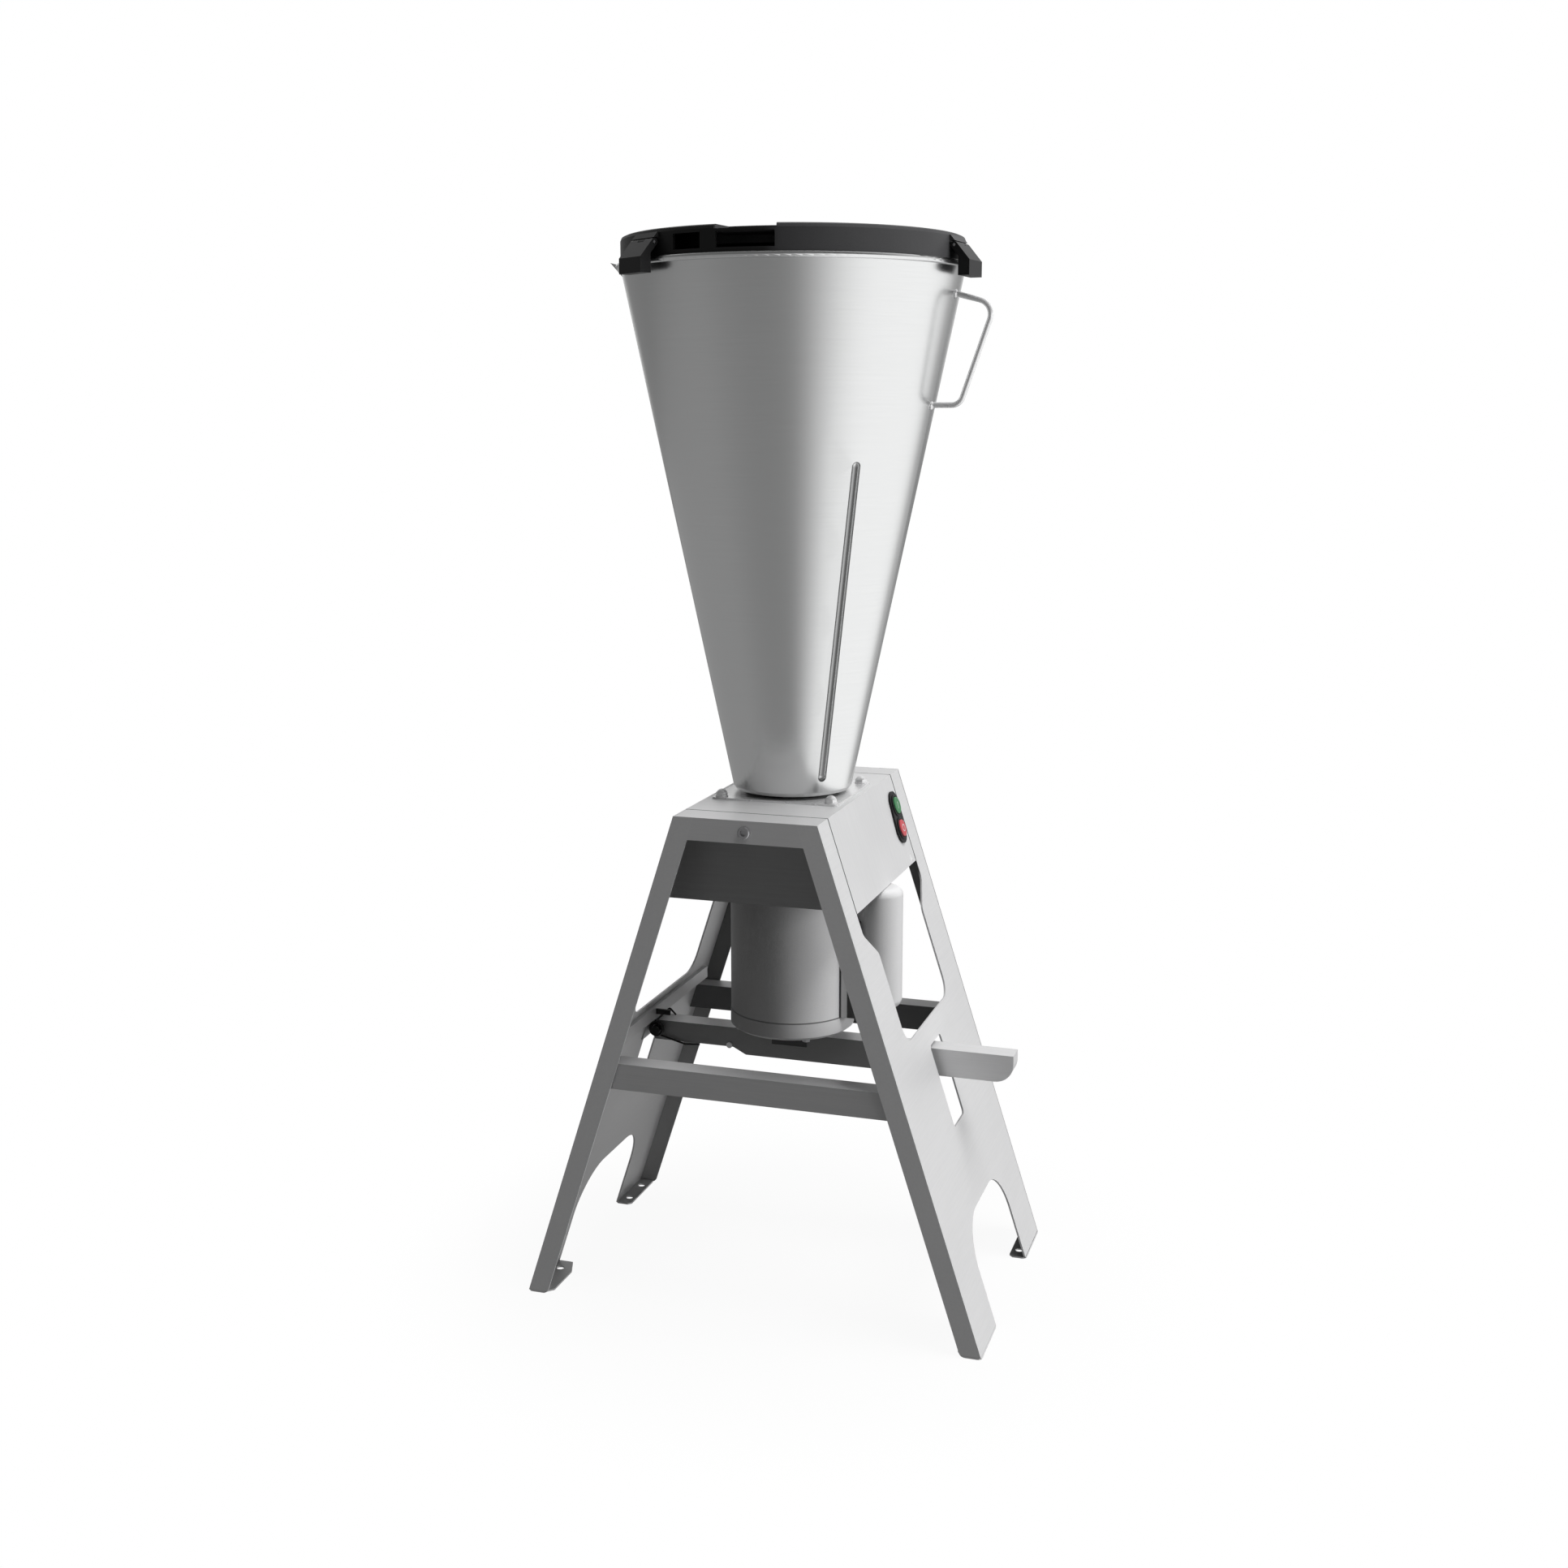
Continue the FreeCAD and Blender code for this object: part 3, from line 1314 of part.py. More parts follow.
save("housing_top", housing_top())
save("housing_panels", housing_panel().cut(station_hole()), mirrored(housing_panel(), across))
save("housing_walls", housing_wall(), mirrored(housing_wall(), along).cut(gland_hole()))
save("panel_screws", *pair(panel_screw(), across))
save("cable_gland", cable_gland())
save("switch_bezel", switch_bezel())
save("switch_block", switch_block())
save("start_button", push_button(1))
save("stop_button", push_button(-1))

save("base_plate", base_plate())
save("mount_studs", *[stud(x, y) for x, y in stud_places()])
save("stud_washers", *[washer(x, y) for x, y in stud_places()])
save("dome_nuts", *[dome_nut(x, y) for x, y in stud_places()])

save("motor_top_flange", motor_top_flange())
save("motor_shell", motor_shell())
save("motor_bottom_shield", bottom_shield())
save("shield_screws", *[shield_screw(x, y) for x, y in screw_places()])
save("motor_bearings", bearing(low_bearing_z), bearing(top_bearing_z))
save("stator_core", stator())
save("stator_windings", winding(stator_z - winding_height), winding(stator_z + stator_height))
save("capacitor", capacitor())
save("capacitor_saddle", capacitor_saddle())
save("latch_striker", latch_striker())
save("striker_screws", *[striker_screw(x, y) for x, y in striker_screw_places()])

save("motor_shaft", shaft())
save("rotor_core", rotor_core())
save("cooling_fan", cooling_fan())
save("shaft_seal", shaft_seal())
save("lower_blade", turned(blade(blade_z, -blade_dip), 90))
save("blade_spacer", ring(hub_r, shaft_tip_r, blade_z + blade_t, upper_blade_z))
save("upper_blade", blade(upper_blade_z, blade_lift))
save("blade_nut", blade_nut())

save("cup", cup())
save("cup_gasket", cup_gasket())
save("cup_bolts", *[cup_bolt(x, y) for x, y in cup_bolt_places()])
save("cup_handle", cup_handle())

save("lid", lid())
save("lid_gasket", lid_gasket())
save("clip_pins", *[turned(clip_pin(), azimuth) for azimuth in clip_azimuths])
for number, azimuth in enumerate(clip_azimuths, 1):
    save("lid_clip_" + str(number), turned(lid_clip(), azimuth))
save("filler_cap", filler_cap())

save("pedal_lever", pedal_lever())
save("lever_bolt", lever_bolt())
save("lever_pin", lever_pin())
save("lever_bracket", lever_bracket())
save("torsion_spring", torsion_spring())
save("spring_anchor", spring_anchor())
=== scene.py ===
import math

import bmesh
import bpy
from mathutils import Matrix, Vector


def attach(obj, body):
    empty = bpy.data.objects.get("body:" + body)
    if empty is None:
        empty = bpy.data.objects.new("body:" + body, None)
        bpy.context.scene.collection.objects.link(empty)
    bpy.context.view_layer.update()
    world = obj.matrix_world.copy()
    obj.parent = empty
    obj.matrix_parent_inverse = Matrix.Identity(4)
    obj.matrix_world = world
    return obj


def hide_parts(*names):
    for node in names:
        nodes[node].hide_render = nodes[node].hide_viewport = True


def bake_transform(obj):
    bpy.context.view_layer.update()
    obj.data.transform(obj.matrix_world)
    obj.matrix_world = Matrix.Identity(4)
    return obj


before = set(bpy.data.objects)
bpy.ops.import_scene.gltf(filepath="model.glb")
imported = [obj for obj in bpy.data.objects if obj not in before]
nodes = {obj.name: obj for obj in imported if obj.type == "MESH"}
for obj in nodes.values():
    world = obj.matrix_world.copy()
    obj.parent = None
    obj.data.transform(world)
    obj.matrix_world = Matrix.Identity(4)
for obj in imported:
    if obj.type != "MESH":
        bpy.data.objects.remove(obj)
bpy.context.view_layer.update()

# Camera: the place from which the machine was photographed, a little right of
# its front and just below its rim.
camera_data = bpy.data.cameras.new("photo_camera")
camera_data.sensor_width = 36.0
camera_data.lens = 42.787
camera_data.clip_end = 50.0
camera = bpy.data.objects.new("photo_camera", camera_data)
camera.location = (0.60332, -1.90324, 0.95001)
camera.rotation_euler = (math.radians(78.8875), 0.0, math.radians(17.859))
bpy.context.scene.collection.objects.link(camera)
bpy.context.scene.camera = camera
bpy.context.scene.view_settings.view_transform = "Standard"


# Studio: white behind the machine. The metal sees that white sheet of paper, a
# bright window to the right, a pale ceiling and a dim front, where the camera is.
class Wire:
    """An output of a shader node. Sums and products of it add Math nodes."""

    def __init__(self, tree, socket):
        self.tree = tree
        self.socket = socket

    def maths(self, operation, *terms):
        node = self.tree.nodes.new("ShaderNodeMath")
        node.operation = operation
        for slot, term in zip(node.inputs, terms):
            if isinstance(term, Wire):
                self.tree.links.new(term.socket, slot)
            else:
                slot.default_value = term
        return Wire(self.tree, node.outputs[0])

    def __add__(self, other):
        return self.maths("ADD", self, other)

    __radd__ = __add__

    def __sub__(self, other):
        return self.maths("SUBTRACT", self, other)

    def __rsub__(self, other):
        return self.maths("SUBTRACT", other, self)

    def __mul__(self, other):
        return self.maths("MULTIPLY", self, other)

    __rmul__ = __mul__

    def __truediv__(self, other):
        return self.maths("DIVIDE", self, other)

    def __pow__(self, other):
        return self.maths("POWER", self, other)

    def absolute(self):
        return self.maths("ABSOLUTE", self)

    def at_most(self, most):
        return self.maths("MINIMUM", self, most)

    def above(self, low, high):
        """0 below low, 1 above high, smooth between."""
        node = self.tree.nodes.new("ShaderNodeMapRange")
        node.interpolation_type = "SMOOTHSTEP"
        self.tree.links.new(self.socket, node.inputs["Value"])
        node.inputs["From Min"].default_value = low
        node.inputs["From Max"].default_value = high
        return Wire(self.tree, node.outputs["Result"])

    def between(self, low, high, soft):
        """1 between low and high, 0 outside, with soft ends."""
        return self.above(low - soft, low + soft) * (1.0 - self.above(high - soft, high + soft))


def add_node(tree, kind, settings, inputs, output=0):
    """A node with its settings made first and its sockets filled with values or wires."""
    node = tree.nodes.new("ShaderNode" + kind)
    for name, value in settings.items():
        setattr(node, name, value)
    for name, value in inputs.items():
        slot = node.inputs[name]
        if isinstance(value, Wire):
            tree.links.new(value.socket, slot)
        else:
            slot.default_value = value
    return Wire(tree, node.outputs[output])


def axes(tree, vector):
    """The three parts of a vector."""
    return [add_node(tree, "SeparateXYZ", {}, {"Vector": vector}, axis) for axis in ("X", "Y", "Z")]


world = bpy.data.worlds.new("studio")
bpy.context.scene.world = world
world.use_nodes = True
sky = world.node_tree
sky.nodes.clear()
aim_x, aim_y, aim_z = axes(sky, add_node(sky, "TexCoord", {}, {}, "Generated"))
flat = (aim_x * aim_x + aim_y * aim_y + 0.0001) ** 0.5
side_x = aim_x / flat
side_y = aim_y / flat


def toward(x, y):
    """How far a ray heads to a side of the room: 1 straight towards it."""
    return side_x * x + side_y * y


wall_level, wall_front_dip, window_level = 0.255, 0.10, 1.1
low_level, low_front_dip, low_window_level = 0.19, 0.07, 1.2
ceiling_level, ceiling_glow = 0.16, 0.70
shade_level = 0.08

window = toward(0.995, -0.09).above(0.15, 0.80)
low_window = toward(0.97, 0.24).above(0.0, 0.9) * (1.0 - side_y.above(0.80, 0.985))
front = toward(0.26, -0.966).above(0.3, 0.98)
upward = aim_z.above(-0.16, -0.08)
walls = wall_level - front * wall_front_dip + window * window_level
low_walls = low_level - front * low_front_dip + low_window * low_window_level
ceiling = ceiling_level + toward(0.10, 0.99).above(-0.3, 0.85) * ceiling_glow
height = aim_z.above(-0.02, 0.30)
room = (upward * walls + (1.0 - upward) * low_walls) * (1.0 - height) + ceiling * height
paper = toward(-0.302, 0.953).above(0.90, 0.975) * aim_z.between(-0.04, 0.28, 0.04)

seen = add_node(sky, "LightPath", {}, {}, "Is Camera Ray")
through = add_node(sky, "LightPath", {}, {}, "Is Transmission Ray")
mirrored = add_node(sky, "LightPath", {}, {}, "Is Glossy Ray")
direct = seen.maths("MAXIMUM", seen, through)
in_metal = room + paper * (1.0 - room)
strength = direct + (1.0 - direct) * (mirrored * in_metal + (1.0 - mirrored) * shade_level)
backdrop = add_node(sky, "Background", {}, {"Color": (1.0, 1.0, 1.0, 1.0), "Strength": strength},
                    "Background")
world_out = sky.nodes.new("ShaderNodeOutputWorld")
sky.links.new(backdrop.socket, world_out.inputs["Surface"])


# Lamps: a large soft box above the right shoulder and a lower one to the right.
# The metal sees the studio's own pattern, so neither of them shows in it.
def soft_lamp(name, place, target, size, watts):
    data = bpy.data.lights.new(name, "AREA")
    data.shape = "RECTANGLE"
    data.size, data.size_y = size
    data.energy = watts
    lamp = bpy.data.objects.new(name, data)
    lamp.location = place
    lamp.rotation_euler = (Vector(target) - Vector(place)).to_track_quat("-Z", "Y").to_euler()
    lamp.visible_glossy = False
    bpy.context.scene.collection.objects.link(lamp)


soft_lamp("upper_lamp", (1.31, -0.22, 3.5), (0.0, 0.0, 0.6), (2.0, 2.0), 92.0)
soft_lamp("low_lamp", (3.46, 0.0, 1.05), (0.0, 0.0, 0.5), (1.2, 1.6), 50.0)

# Floor: white paper, as bright as the backdrop, just under the feet. It keeps a
# faint shadow round them and fades into the backdrop further out.
floor_half = 6.0
floor_drop = 0.0004
shadow_share = 0.06
shadow_fade = (0.22, 0.50)
floor_in_metal = 0.2

floor_mesh = bpy.data.meshes.new("floor")
floor_form = bmesh.new()
bmesh.ops.create_grid(floor_form, x_segments=1, y_segments=1, size=floor_half)
bmesh.ops.translate(floor_form, verts=floor_form.verts, vec=(0.0, 0.0, -floor_drop))
floor_form.to_mesh(floor_mesh)
floor_form.free()
floor = bpy.data.objects.new("floor", floor_mesh)
bpy.context.scene.collection.objects.link(floor)
floor_finish = bpy.data.materials.new("floor_white")
floor_finish.use_nodes = True
ground = floor_finish.node_tree
ground.nodes.clear()
floor_x, floor_y = axes(ground, add_node(ground, "TexCoord", {}, {}, "Object"))[:2]
distance = (floor_x * floor_x + floor_y * floor_y) ** 0.5
floor_seen = add_node(ground, "LightPath", {}, {}, "Is Camera Ray")
floor_mirrored = add_node(ground, "LightPath", {}, {}, "Is Glossy Ray")
paper_skin = add_node(ground, "BsdfDiffuse", {}, {"Color": (0.9, 0.9, 0.9, 1.0)})
white = add_node(ground, "Emission", {}, {"Color": (1.0, 1.0, 1.0, 1.0), "Strength": 1.0})
clear = add_node(ground, "BsdfTransparent", {}, {})
glow_share = (1.0 - shadow_share) + distance.above(*shadow_fade) * shadow_share
lit = add_node(ground, "MixShader", {}, {"Fac": glow_share, 1: paper_skin, 2: white})
seen_share = floor_seen + floor_mirrored * floor_in_metal
floor_skin = add_node(ground, "MixShader", {}, {"Fac": seen_share, 1: clear, 2: lit})
floor_out = ground.nodes.new("ShaderNodeOutputMaterial")
ground.links.new(floor_skin.socket, floor_out.inputs["Surface"])
floor_mesh.materials.append(floor_finish)

# Side plates: two leaning plates of satin stainless sheet, cut, folded at the edges
# and at the feet, with a window, a slot and an arch. Painted shade darkens the inner
# faces of the rear folds, the tops of the feet, most of all at the rear right, and the
# inside of the left plate; the seams along the head are dark joints.
plate_foot_x = 0.2554
plate_slope = 0.324
rear_fold_y = (0.1599, 0.1613)
foot_z = (0.0017, 0.0024)
seam_y = (0.1257, 0.1264)
cut_edge = 0.0002
even = (1.0, 1.0, 1.0)
brushed_deep = (30.0, 1.0, 30.0)


def finish(name, colour, metallic, roughness, build, **fixed):
    """A material with a Principled shader. build(tree, shader, place) adds what varies."""
    material = bpy.data.materials.new(name)
    material.use_nodes = True
    tree = material.node_tree
    shader = tree.nodes["Principled BSDF"]
    shader.inputs["Base Color"].default_value = (*colour, 1.0)
    shader.inputs["Metallic"].default_value = metallic
    shader.inputs["Roughness"].default_value = roughness
    for key, value in fixed.items():
        shader.inputs[key.replace("_", " ")].default_value = value
    build(tree, shader, add_node(tree, "TexCoord", {}, {}, "Object"))
    return material


def feed(tree, shader, slot, wire):
    tree.links.new(wire.socket, shader.inputs[slot])


def relief(tree, shader, strength, depth, height):
    """Fine bumps in the surface, as deep as depth."""
    bump = {"Strength": strength, "Distance": depth, "Height": height}
    feed(tree, shader, "Normal", add_node(tree, "Bump", {}, bump, "Normal"))


def noise(tree, place, stretch, scale, detail, rough):
    """Noise over object coordinates, stretched by a vector."""
    spread = add_node(tree, "Mapping", {}, {"Vector": place, "Scale": stretch})
    return add_node(tree, "TexNoise", {}, {"Vector": spread, "Scale": scale, "Detail": detail,
                                           "Roughness": rough}, "Fac")


def tint(tree, dark, light, amount):
    """A colour between dark and light; each is a colour or a wire."""
    ends = [end if isinstance(end, Wire) else (*end, 1.0) for end in (dark, light)]
    mix = {"Factor": amount, 6: ends[0], 7: ends[1]}
    return add_node(tree, "Mix", {"data_type": "RGBA"}, mix, 2)


def grey(tone, cool=0.0):
    return (tone, tone, tone + cool)


def grain(stretch, scale, dark, light, roughness, swing=0.1, bump=0.05, shade=None,
          dim=grey(0.1), cloudy=True):
    """Brushed metal: streaks in colour, roughness and height, and slow clouds.
    shade(x, y, z) gives the share of the dim colour."""
    def build(tree, shader, place):
        streak = noise(tree, place, stretch, scale, 4.0, 0.7)
        cloud = noise(tree, place, even, 9.0, 3.0, 0.5) if cloudy else streak
        colour = tint(tree, dark, light, (streak * 0.6 + cloud * 0.4).above(0.25, 0.75))
        if shade:
            colour = tint(tree, colour, dim, shade(*axes(tree, place)))
        feed(tree, shader, "Base Color", colour)
        uneven = (streak - 0.5) * swing + (cloud - 0.5) * (0.12 if cloudy else 0.0)
        feed(tree, shader, "Roughness", uneven + roughness)
        if bump:
            relief(tree, shader, bump, 0.0004, streak)
    return build


def brushed(name, tone, metallic, roughness, stretch, scale, spread=0.03, cool=0.005, **more):
    """Brushed grey metal, spread lighter and darker than its tone."""
    return finish(name, grey(tone, cool), metallic, roughness,
                  grain(stretch, scale, grey(tone - spread, cool), grey(tone + spread, cool),
                        roughness, **more))


def dress(material, *names):
    """Gives CAD nodes a material in every slot."""
    for name in names:
        for slot in nodes[name].material_slots:
            slot.material = material


# Painted shade on the rear folds, the feet and inside the left plate, and the dark seam lines.
def plate_painted_shade_and_seams(x, y, z):
    rear_fold = y.between(*rear_fold_y, cut_edge) * (0.55 + z.above(0.05, 0.40) * 0.35)
    rear_right = x.above(0.0, 0.01) * y.above(0.0, 0.01)
    foot = z.between(*foot_z, cut_edge) * (0.25 + rear_right * 0.75)
    across = y.absolute()
    seam = across.between(*seam_y, cut_edge) * z.above(0.43, 0.44)
    behind_face = (x + plate_foot_x - z * plate_slope).above(0.0012, 0.0016)
    within_folds = 1.0 - across.above(0.1596, 0.1600)
    left_inside = behind_face * (1.0 - x.above(-0.01, 0.0)) * within_folds * 0.35
    painted_shade_and_seams = rear_fold + foot + seam + left_inside
    return painted_shade_and_seams.at_most(1.0)


plate_steel = brushed("plate_steel", 0.78, 0.3, 0.5, brushed_deep, 14.0, shade=plate_painted_shade_and_seams)
dress(plate_steel, "right_side_plate", "left_side_plate")

# Top beams: folded sheet channels welded across the tops of the two plates. They
# carry the pivot bolts.
brushed_wide = (1.0, 30.0, 30.0)
beam_steel = brushed("beam_steel", 0.76, 0.3, 0.48, brushed_wide, 14.0)
dress(beam_steel, "front_top_beam", "rear_top_beam")

# Crossbars: sheet channels, open below, welded between the plates. The rear one
# is in a darker steel and its front face is darker still: painted shade of the motor.
painted_shade_face_y = (0.10, 0.1345)
crossbar_steel = brushed("crossbar_steel", 0.62, 0.3, 0.48, brushed_wide, 14.0)
dress(crossbar_steel, "front_crossbar")
painted_shade_steel = brushed("painted_shade_steel", 0.4, 0.3, 0.5, brushed_wide, 14.0, spread=0.02,
                       shade=lambda x, y, z: y.between(*painted_shade_face_y, 0.0005),
                       dim=grey(0.10, 0.002))
dress(painted_shade_steel, "rear_crossbar")

# Rails: strips of the same steel as the plates, welded along the inside of each
# plate, below the window.
dress(plate_steel, "right_plate_rail", "left_plate_rail")

# Tilt pivot: socket-head bolts of blackened steel through the beams, on turned
# spacers, in flanged bronze bushes pressed into the end walls of the head.
bolt_steel = brushed("bolt_steel", 0.42, 0.8, 0.4, even, 160.0, spread=0.04, cool=0.01)
dress(bolt_steel, "pivot_bolts")
turned_steel = brushed("turned_steel", 0.55, 0.9, 0.34, (1.0, 1.0, 40.0), 30.0, spread=0.05,
                       cool=0.01, swing=0.12)
dress(turned_steel, "pivot_spacers")


def mottled(name, dark, light, metallic, roughness, scale, swing=0.1, bump=0.1, shade=None,
            dim=grey(0.02), **fixed):
    """Paint, plastic or cast metal: a fine grain with slow clouds.
    shade(x, y, z) gives the share of the dim colour."""
    def build(tree, shader, place):
        fine = noise(tree, place, even, scale, 2.0, 0.6)
        cloud = noise(tree, place, even, 14.0, 3.0, 0.5)
        colour = tint(tree, dark, light, (fine * 0.4 + cloud * 0.6).above(0.3, 0.7))
        if shade:
            colour = tint(tree, colour, dim, shade(*axes(tree, place)))
        feed(tree, shader, "Base Color", colour)
        feed(tree, shader, "Roughness", (cloud - 0.5) * swing + roughness)
        relief(tree, shader, bump, 0.0002, fine)

    middle = [(low + high) / 2 for low, high in zip(dark, light)]
    return finish(name, middle, metallic, roughness, build, **fixed)


bush_bronze = mottled("bush_bronze", (0.5, 0.35, 0.17), (0.6, 0.45, 0.24), 1.0, 0.35, 500.0,
                      bump=0.2)
dress(bush_bronze, "pivot_bushes")

# Head sheet: the top and the two side panels of the head, stainless sheet like the
# plates, brushed and welded along the edges, flush with the plates. The cut edges
# along the seams are dull.
head_seam_y = (0.1240, 0.1244)
head_steel = brushed("head_steel", 0.78, 0.3, 0.46, (1.0, 30.0, 1.0), 14.0,
                     shade=lambda x, y, z: y.absolute().above(*head_seam_y))
dress(head_steel, "housing_top", "housing_panels")

# End walls of the head: the same sheet as its panels, welded in behind the beams,
# where they lie in the shade; their darker tone is painted shade.
wall_painted_shade_steel = brushed("wall_painted_shade_steel", 0.3, 0.3, 0.5, brushed_wide, 14.0, spread=0.02, cool=0.003)
dress(wall_painted_shade_steel, "housing_walls")

# Panel screws: one domed screw of plated steel low on each side panel, driven in
# from outside.
bright_steel = brushed("bright_steel", 0.78, 0.5, 0.34, even, 220.0, swing=0.08, bump=0.03)
dress(bright_steel, "panel_screws")

# Cable gland: moulded black sleeve screwed into the rear end wall, with a fluted nut
# that is gripped by hand and clamps the seal inside.
mm = 0.001
gland_place = (-0.04, 0.12, 0.49)
grip_outline = [(8.1, 6.1), (11.6, 6.1), (11.6, 12.6), (10.2, 14.6), (8.1, 14.6)]
black_moulding = mottled("black_moulding", grey(0.010, 0.0005), grey(0.014, 0.0005), 0.0, 0.45,
                         900.0, swing=0.12, bump=0.25, Specular_IOR_Level=0.2)
dress(black_moulding, "cable_gland")


def piece(name, form, material, body=None):
    """Turns a finished form into an object, which rides on a body where one is given."""
    bmesh.ops.remove_doubles(form, verts=form.verts, dist=1e-6)
    bmesh.ops.recalc_face_normals(form, faces=form.faces)
    for face in form.faces:
        face.smooth = True
    mesh = bpy.data.meshes.new(name)
    form.to_mesh(mesh)
    form.free()
    mesh.materials.append(material)
    made = bpy.data.objects.new(name, mesh)
    bpy.context.scene.collection.objects.link(made)
    if body:
        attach(made, body)
    return made


def turned_form(form, outline, matrix, steps=48, flutes=0, flute_depth=0.0):
    """Closed outline of (r, z) points, in millimetres, spun full circle about Z.
    Flutes press the outermost points in at even steps."""
    points = [form.verts.new((r * mm, 0.0, z * mm)) for r, z in outline]
    edges = [form.edges.new((points[i - 1], points[i])) for i in range(len(points))]
    bmesh.ops.spin(form, geom=points + edges, cent=(0.0, 0.0, 0.0), axis=(0.0, 0.0, 1.0),
                   dvec=(0.0, 0.0, 0.0), angle=math.tau, steps=steps, use_merge=True)
    fresh = [vert for vert in form.verts if not vert.tag]
    widest = max(r for r, z in outline) * mm
    for vert in fresh:
        if flutes and vert.co.xy.length > widest - 0.1 * mm:
            wave = 0.5 - 0.5 * math.cos(flutes * math.atan2(vert.co.y, vert.co.x))
            vert.co.xy *= 1.0 - flute_depth * wave / widest
    bmesh.ops.transform(form, matrix=matrix, verts=fresh)
    for vert in form.verts:
        vert.tag = True


gland_form = bmesh.new()
turned_form(gland_form, grip_outline,
            Matrix.Translation(gland_place) @ Matrix.Rotation(math.radians(-90.0), 4, "X"),
            steps=96, flutes=16, flute_depth=0.8 * mm)
piece("gland_grip", gland_form, black_moulding, "head")

# Push-button station: a black moulded bezel with a raised collar round each button,
# clamped on the side panel by the contact block behind it.
stand_height = 0.55
station_y = 0.101
station_drop = 0.04635
station_turn = math.radians(-9.0)
button_offset = 0.0132
collar_outline = [(10.3, 2.3), (12.6, 2.3), (12.6, 3.2), (12.1, 3.9), (11.0, 4.0), (10.3, 3.5)]

lean = math.atan(plate_slope)
panel_frame = Matrix(((0.0, -math.sin(lean), math.cos(lean), plate_foot_x),
                      (1.0, 0.0, 0.0, 0.0),
                      (0.0, math.cos(lean), math.sin(lean), 0.0),
                      (0.0, 0.0, 0.0, 1.0)))
station_up = stand_height / math.cos(lean) - station_drop
station_frame = (panel_frame @ Matrix.Translation((station_y, station_up, 0.0))
                 @ Matrix.Rotation(station_turn, 4, "Z"))
start_frame = station_frame @ Matrix.Translation((0.0, button_offset, 0.0))
stop_frame = station_frame @ Matrix.Translation((0.0, -button_offset, 0.0))
collar_form = bmesh.new()
for button_frame in (start_frame, stop_frame):
    turned_form(collar_form, collar_outline, button_frame)
piece("button_collars", collar_form, black_moulding, "head")
dress(black_moulding, "switch_bezel", "switch_block")

# Push-buttons: moulded green and red caps, sprung, each with a pale stroke or ring
# printed on its face.
stroke_size = (0.0011, 0.008, 0.00012)
stroke_lift = 0.00554
stroke_bevel = 0.00004
ring_outline = [(3.3, 5.48), (4.3, 5.48), (4.3, 5.58), (4.2, 5.6), (3.4, 5.6), (3.3, 5.58)]

green_moulding = mottled("green_moulding", (0.045, 0.185, 0.072), (0.055, 0.215, 0.088), 0.0, 0.4,
                         700.0)
dress(green_moulding, "start_button")
red_moulding = mottled("red_moulding", (0.53, 0.075, 0.09), (0.59, 0.085, 0.10), 0.0, 0.4, 700.0)
dress(red_moulding, "stop_button")
print_white = mottled("print_white", grey(0.66), grey(0.74), 0.0, 0.5, 900.0)
stroke_form = bmesh.new()
bmesh.ops.create_cube(stroke_form, size=1.0,
                      matrix=start_frame @ Matrix.Translation((0.0, 0.0, stroke_lift))
                      @ Matrix.Diagonal((*stroke_size, 1.0)))
bmesh.ops.bevel(stroke_form, geom=stroke_form.edges[:], offset=stroke_bevel, offset_type="OFFSET",
                segments=2, profile=0.5, affect="EDGES", material=-1)
piece("start_mark", stroke_form, print_white, "start_button")
ring_form = bmesh.new()
turned_form(ring_form, ring_outline, stop_frame)
piece("stop_mark", ring_form, print_white, "stop_button")


# Base plate: polished stainless plate under the cup, held by four studs. Its left
# side is darkened with the cup's painted shadow.
def base_painted_shadow(x, y, z):
    return 0.6 - x.above(-0.075, -0.045) * 0.6


base_steel = brushed("base_steel", 0.78, 0.5, 0.26, (1.0, 40.0, 1.0), 20.0, swing=0.08, bump=0.03,
                     shade=base_painted_shadow, dim=grey(0.3))
dress(base_steel, "base_plate")

# Studs, washers and dome nuts: plated steel. The studs come up through the base
# plate, and the nuts are screwed down on it over their washers.
dress(bright_steel, "mount_studs", "stud_washers", "dome_nuts")

# Motor: cast end shields and a rolled shell, sprayed pale grey. A dark line shows
# where the shell meets the bottom shield, and the left side is darkened with
# painted shade.
shield_seam_z = (0.3056, 0.3069)


def motor_seam_and_painted_shade(x, y, z):
    side = 1.0 - x.above(-0.06, 0.06)
    return z.between(*shield_seam_z, 0.0004) * (0.8 - side * 0.6) + side * 0.62


motor_paint = mottled("motor_paint", grey(0.86, 0.005), grey(0.92, 0.005), 0.0, 0.5, 700.0,
                      bump=0.2, shade=motor_seam_and_painted_shade, dim=grey(0.05))
dress(motor_paint, "motor_top_flange", "motor_shell", "motor_bottom_shield")

# Screws and bearings of the motor: plated screws up into the shield, two ball
# bearings pressed into their seats.
dress(turned_steel, "shield_screws", "motor_bearings")

# Stator and rotor: stacks of pressed steel sheets. The stator holds two rings of
# copper wire, and the rotor's core is pressed on the shaft.
core_steel = brushed("core_steel", 0.12, 0.8, 0.45, (1.0, 1.0, 60.0), 60.0, cool=0.0, bump=0.2)
dress(core_steel, "stator_core", "rotor_core")
copper_wire = mottled("copper_wire", (0.5, 0.2, 0.08), (0.7, 0.32, 0.15), 1.0, 0.35, 300.0,
                      bump=0.4)
dress(copper_wire, "stator_windings")

# Shaft and fan: a turned steel shaft in the two bearings, with a moulded black fan
# pressed on its lower end.
dress(turned_steel, "motor_shaft")
dress(black_moulding, "cooling_fan")

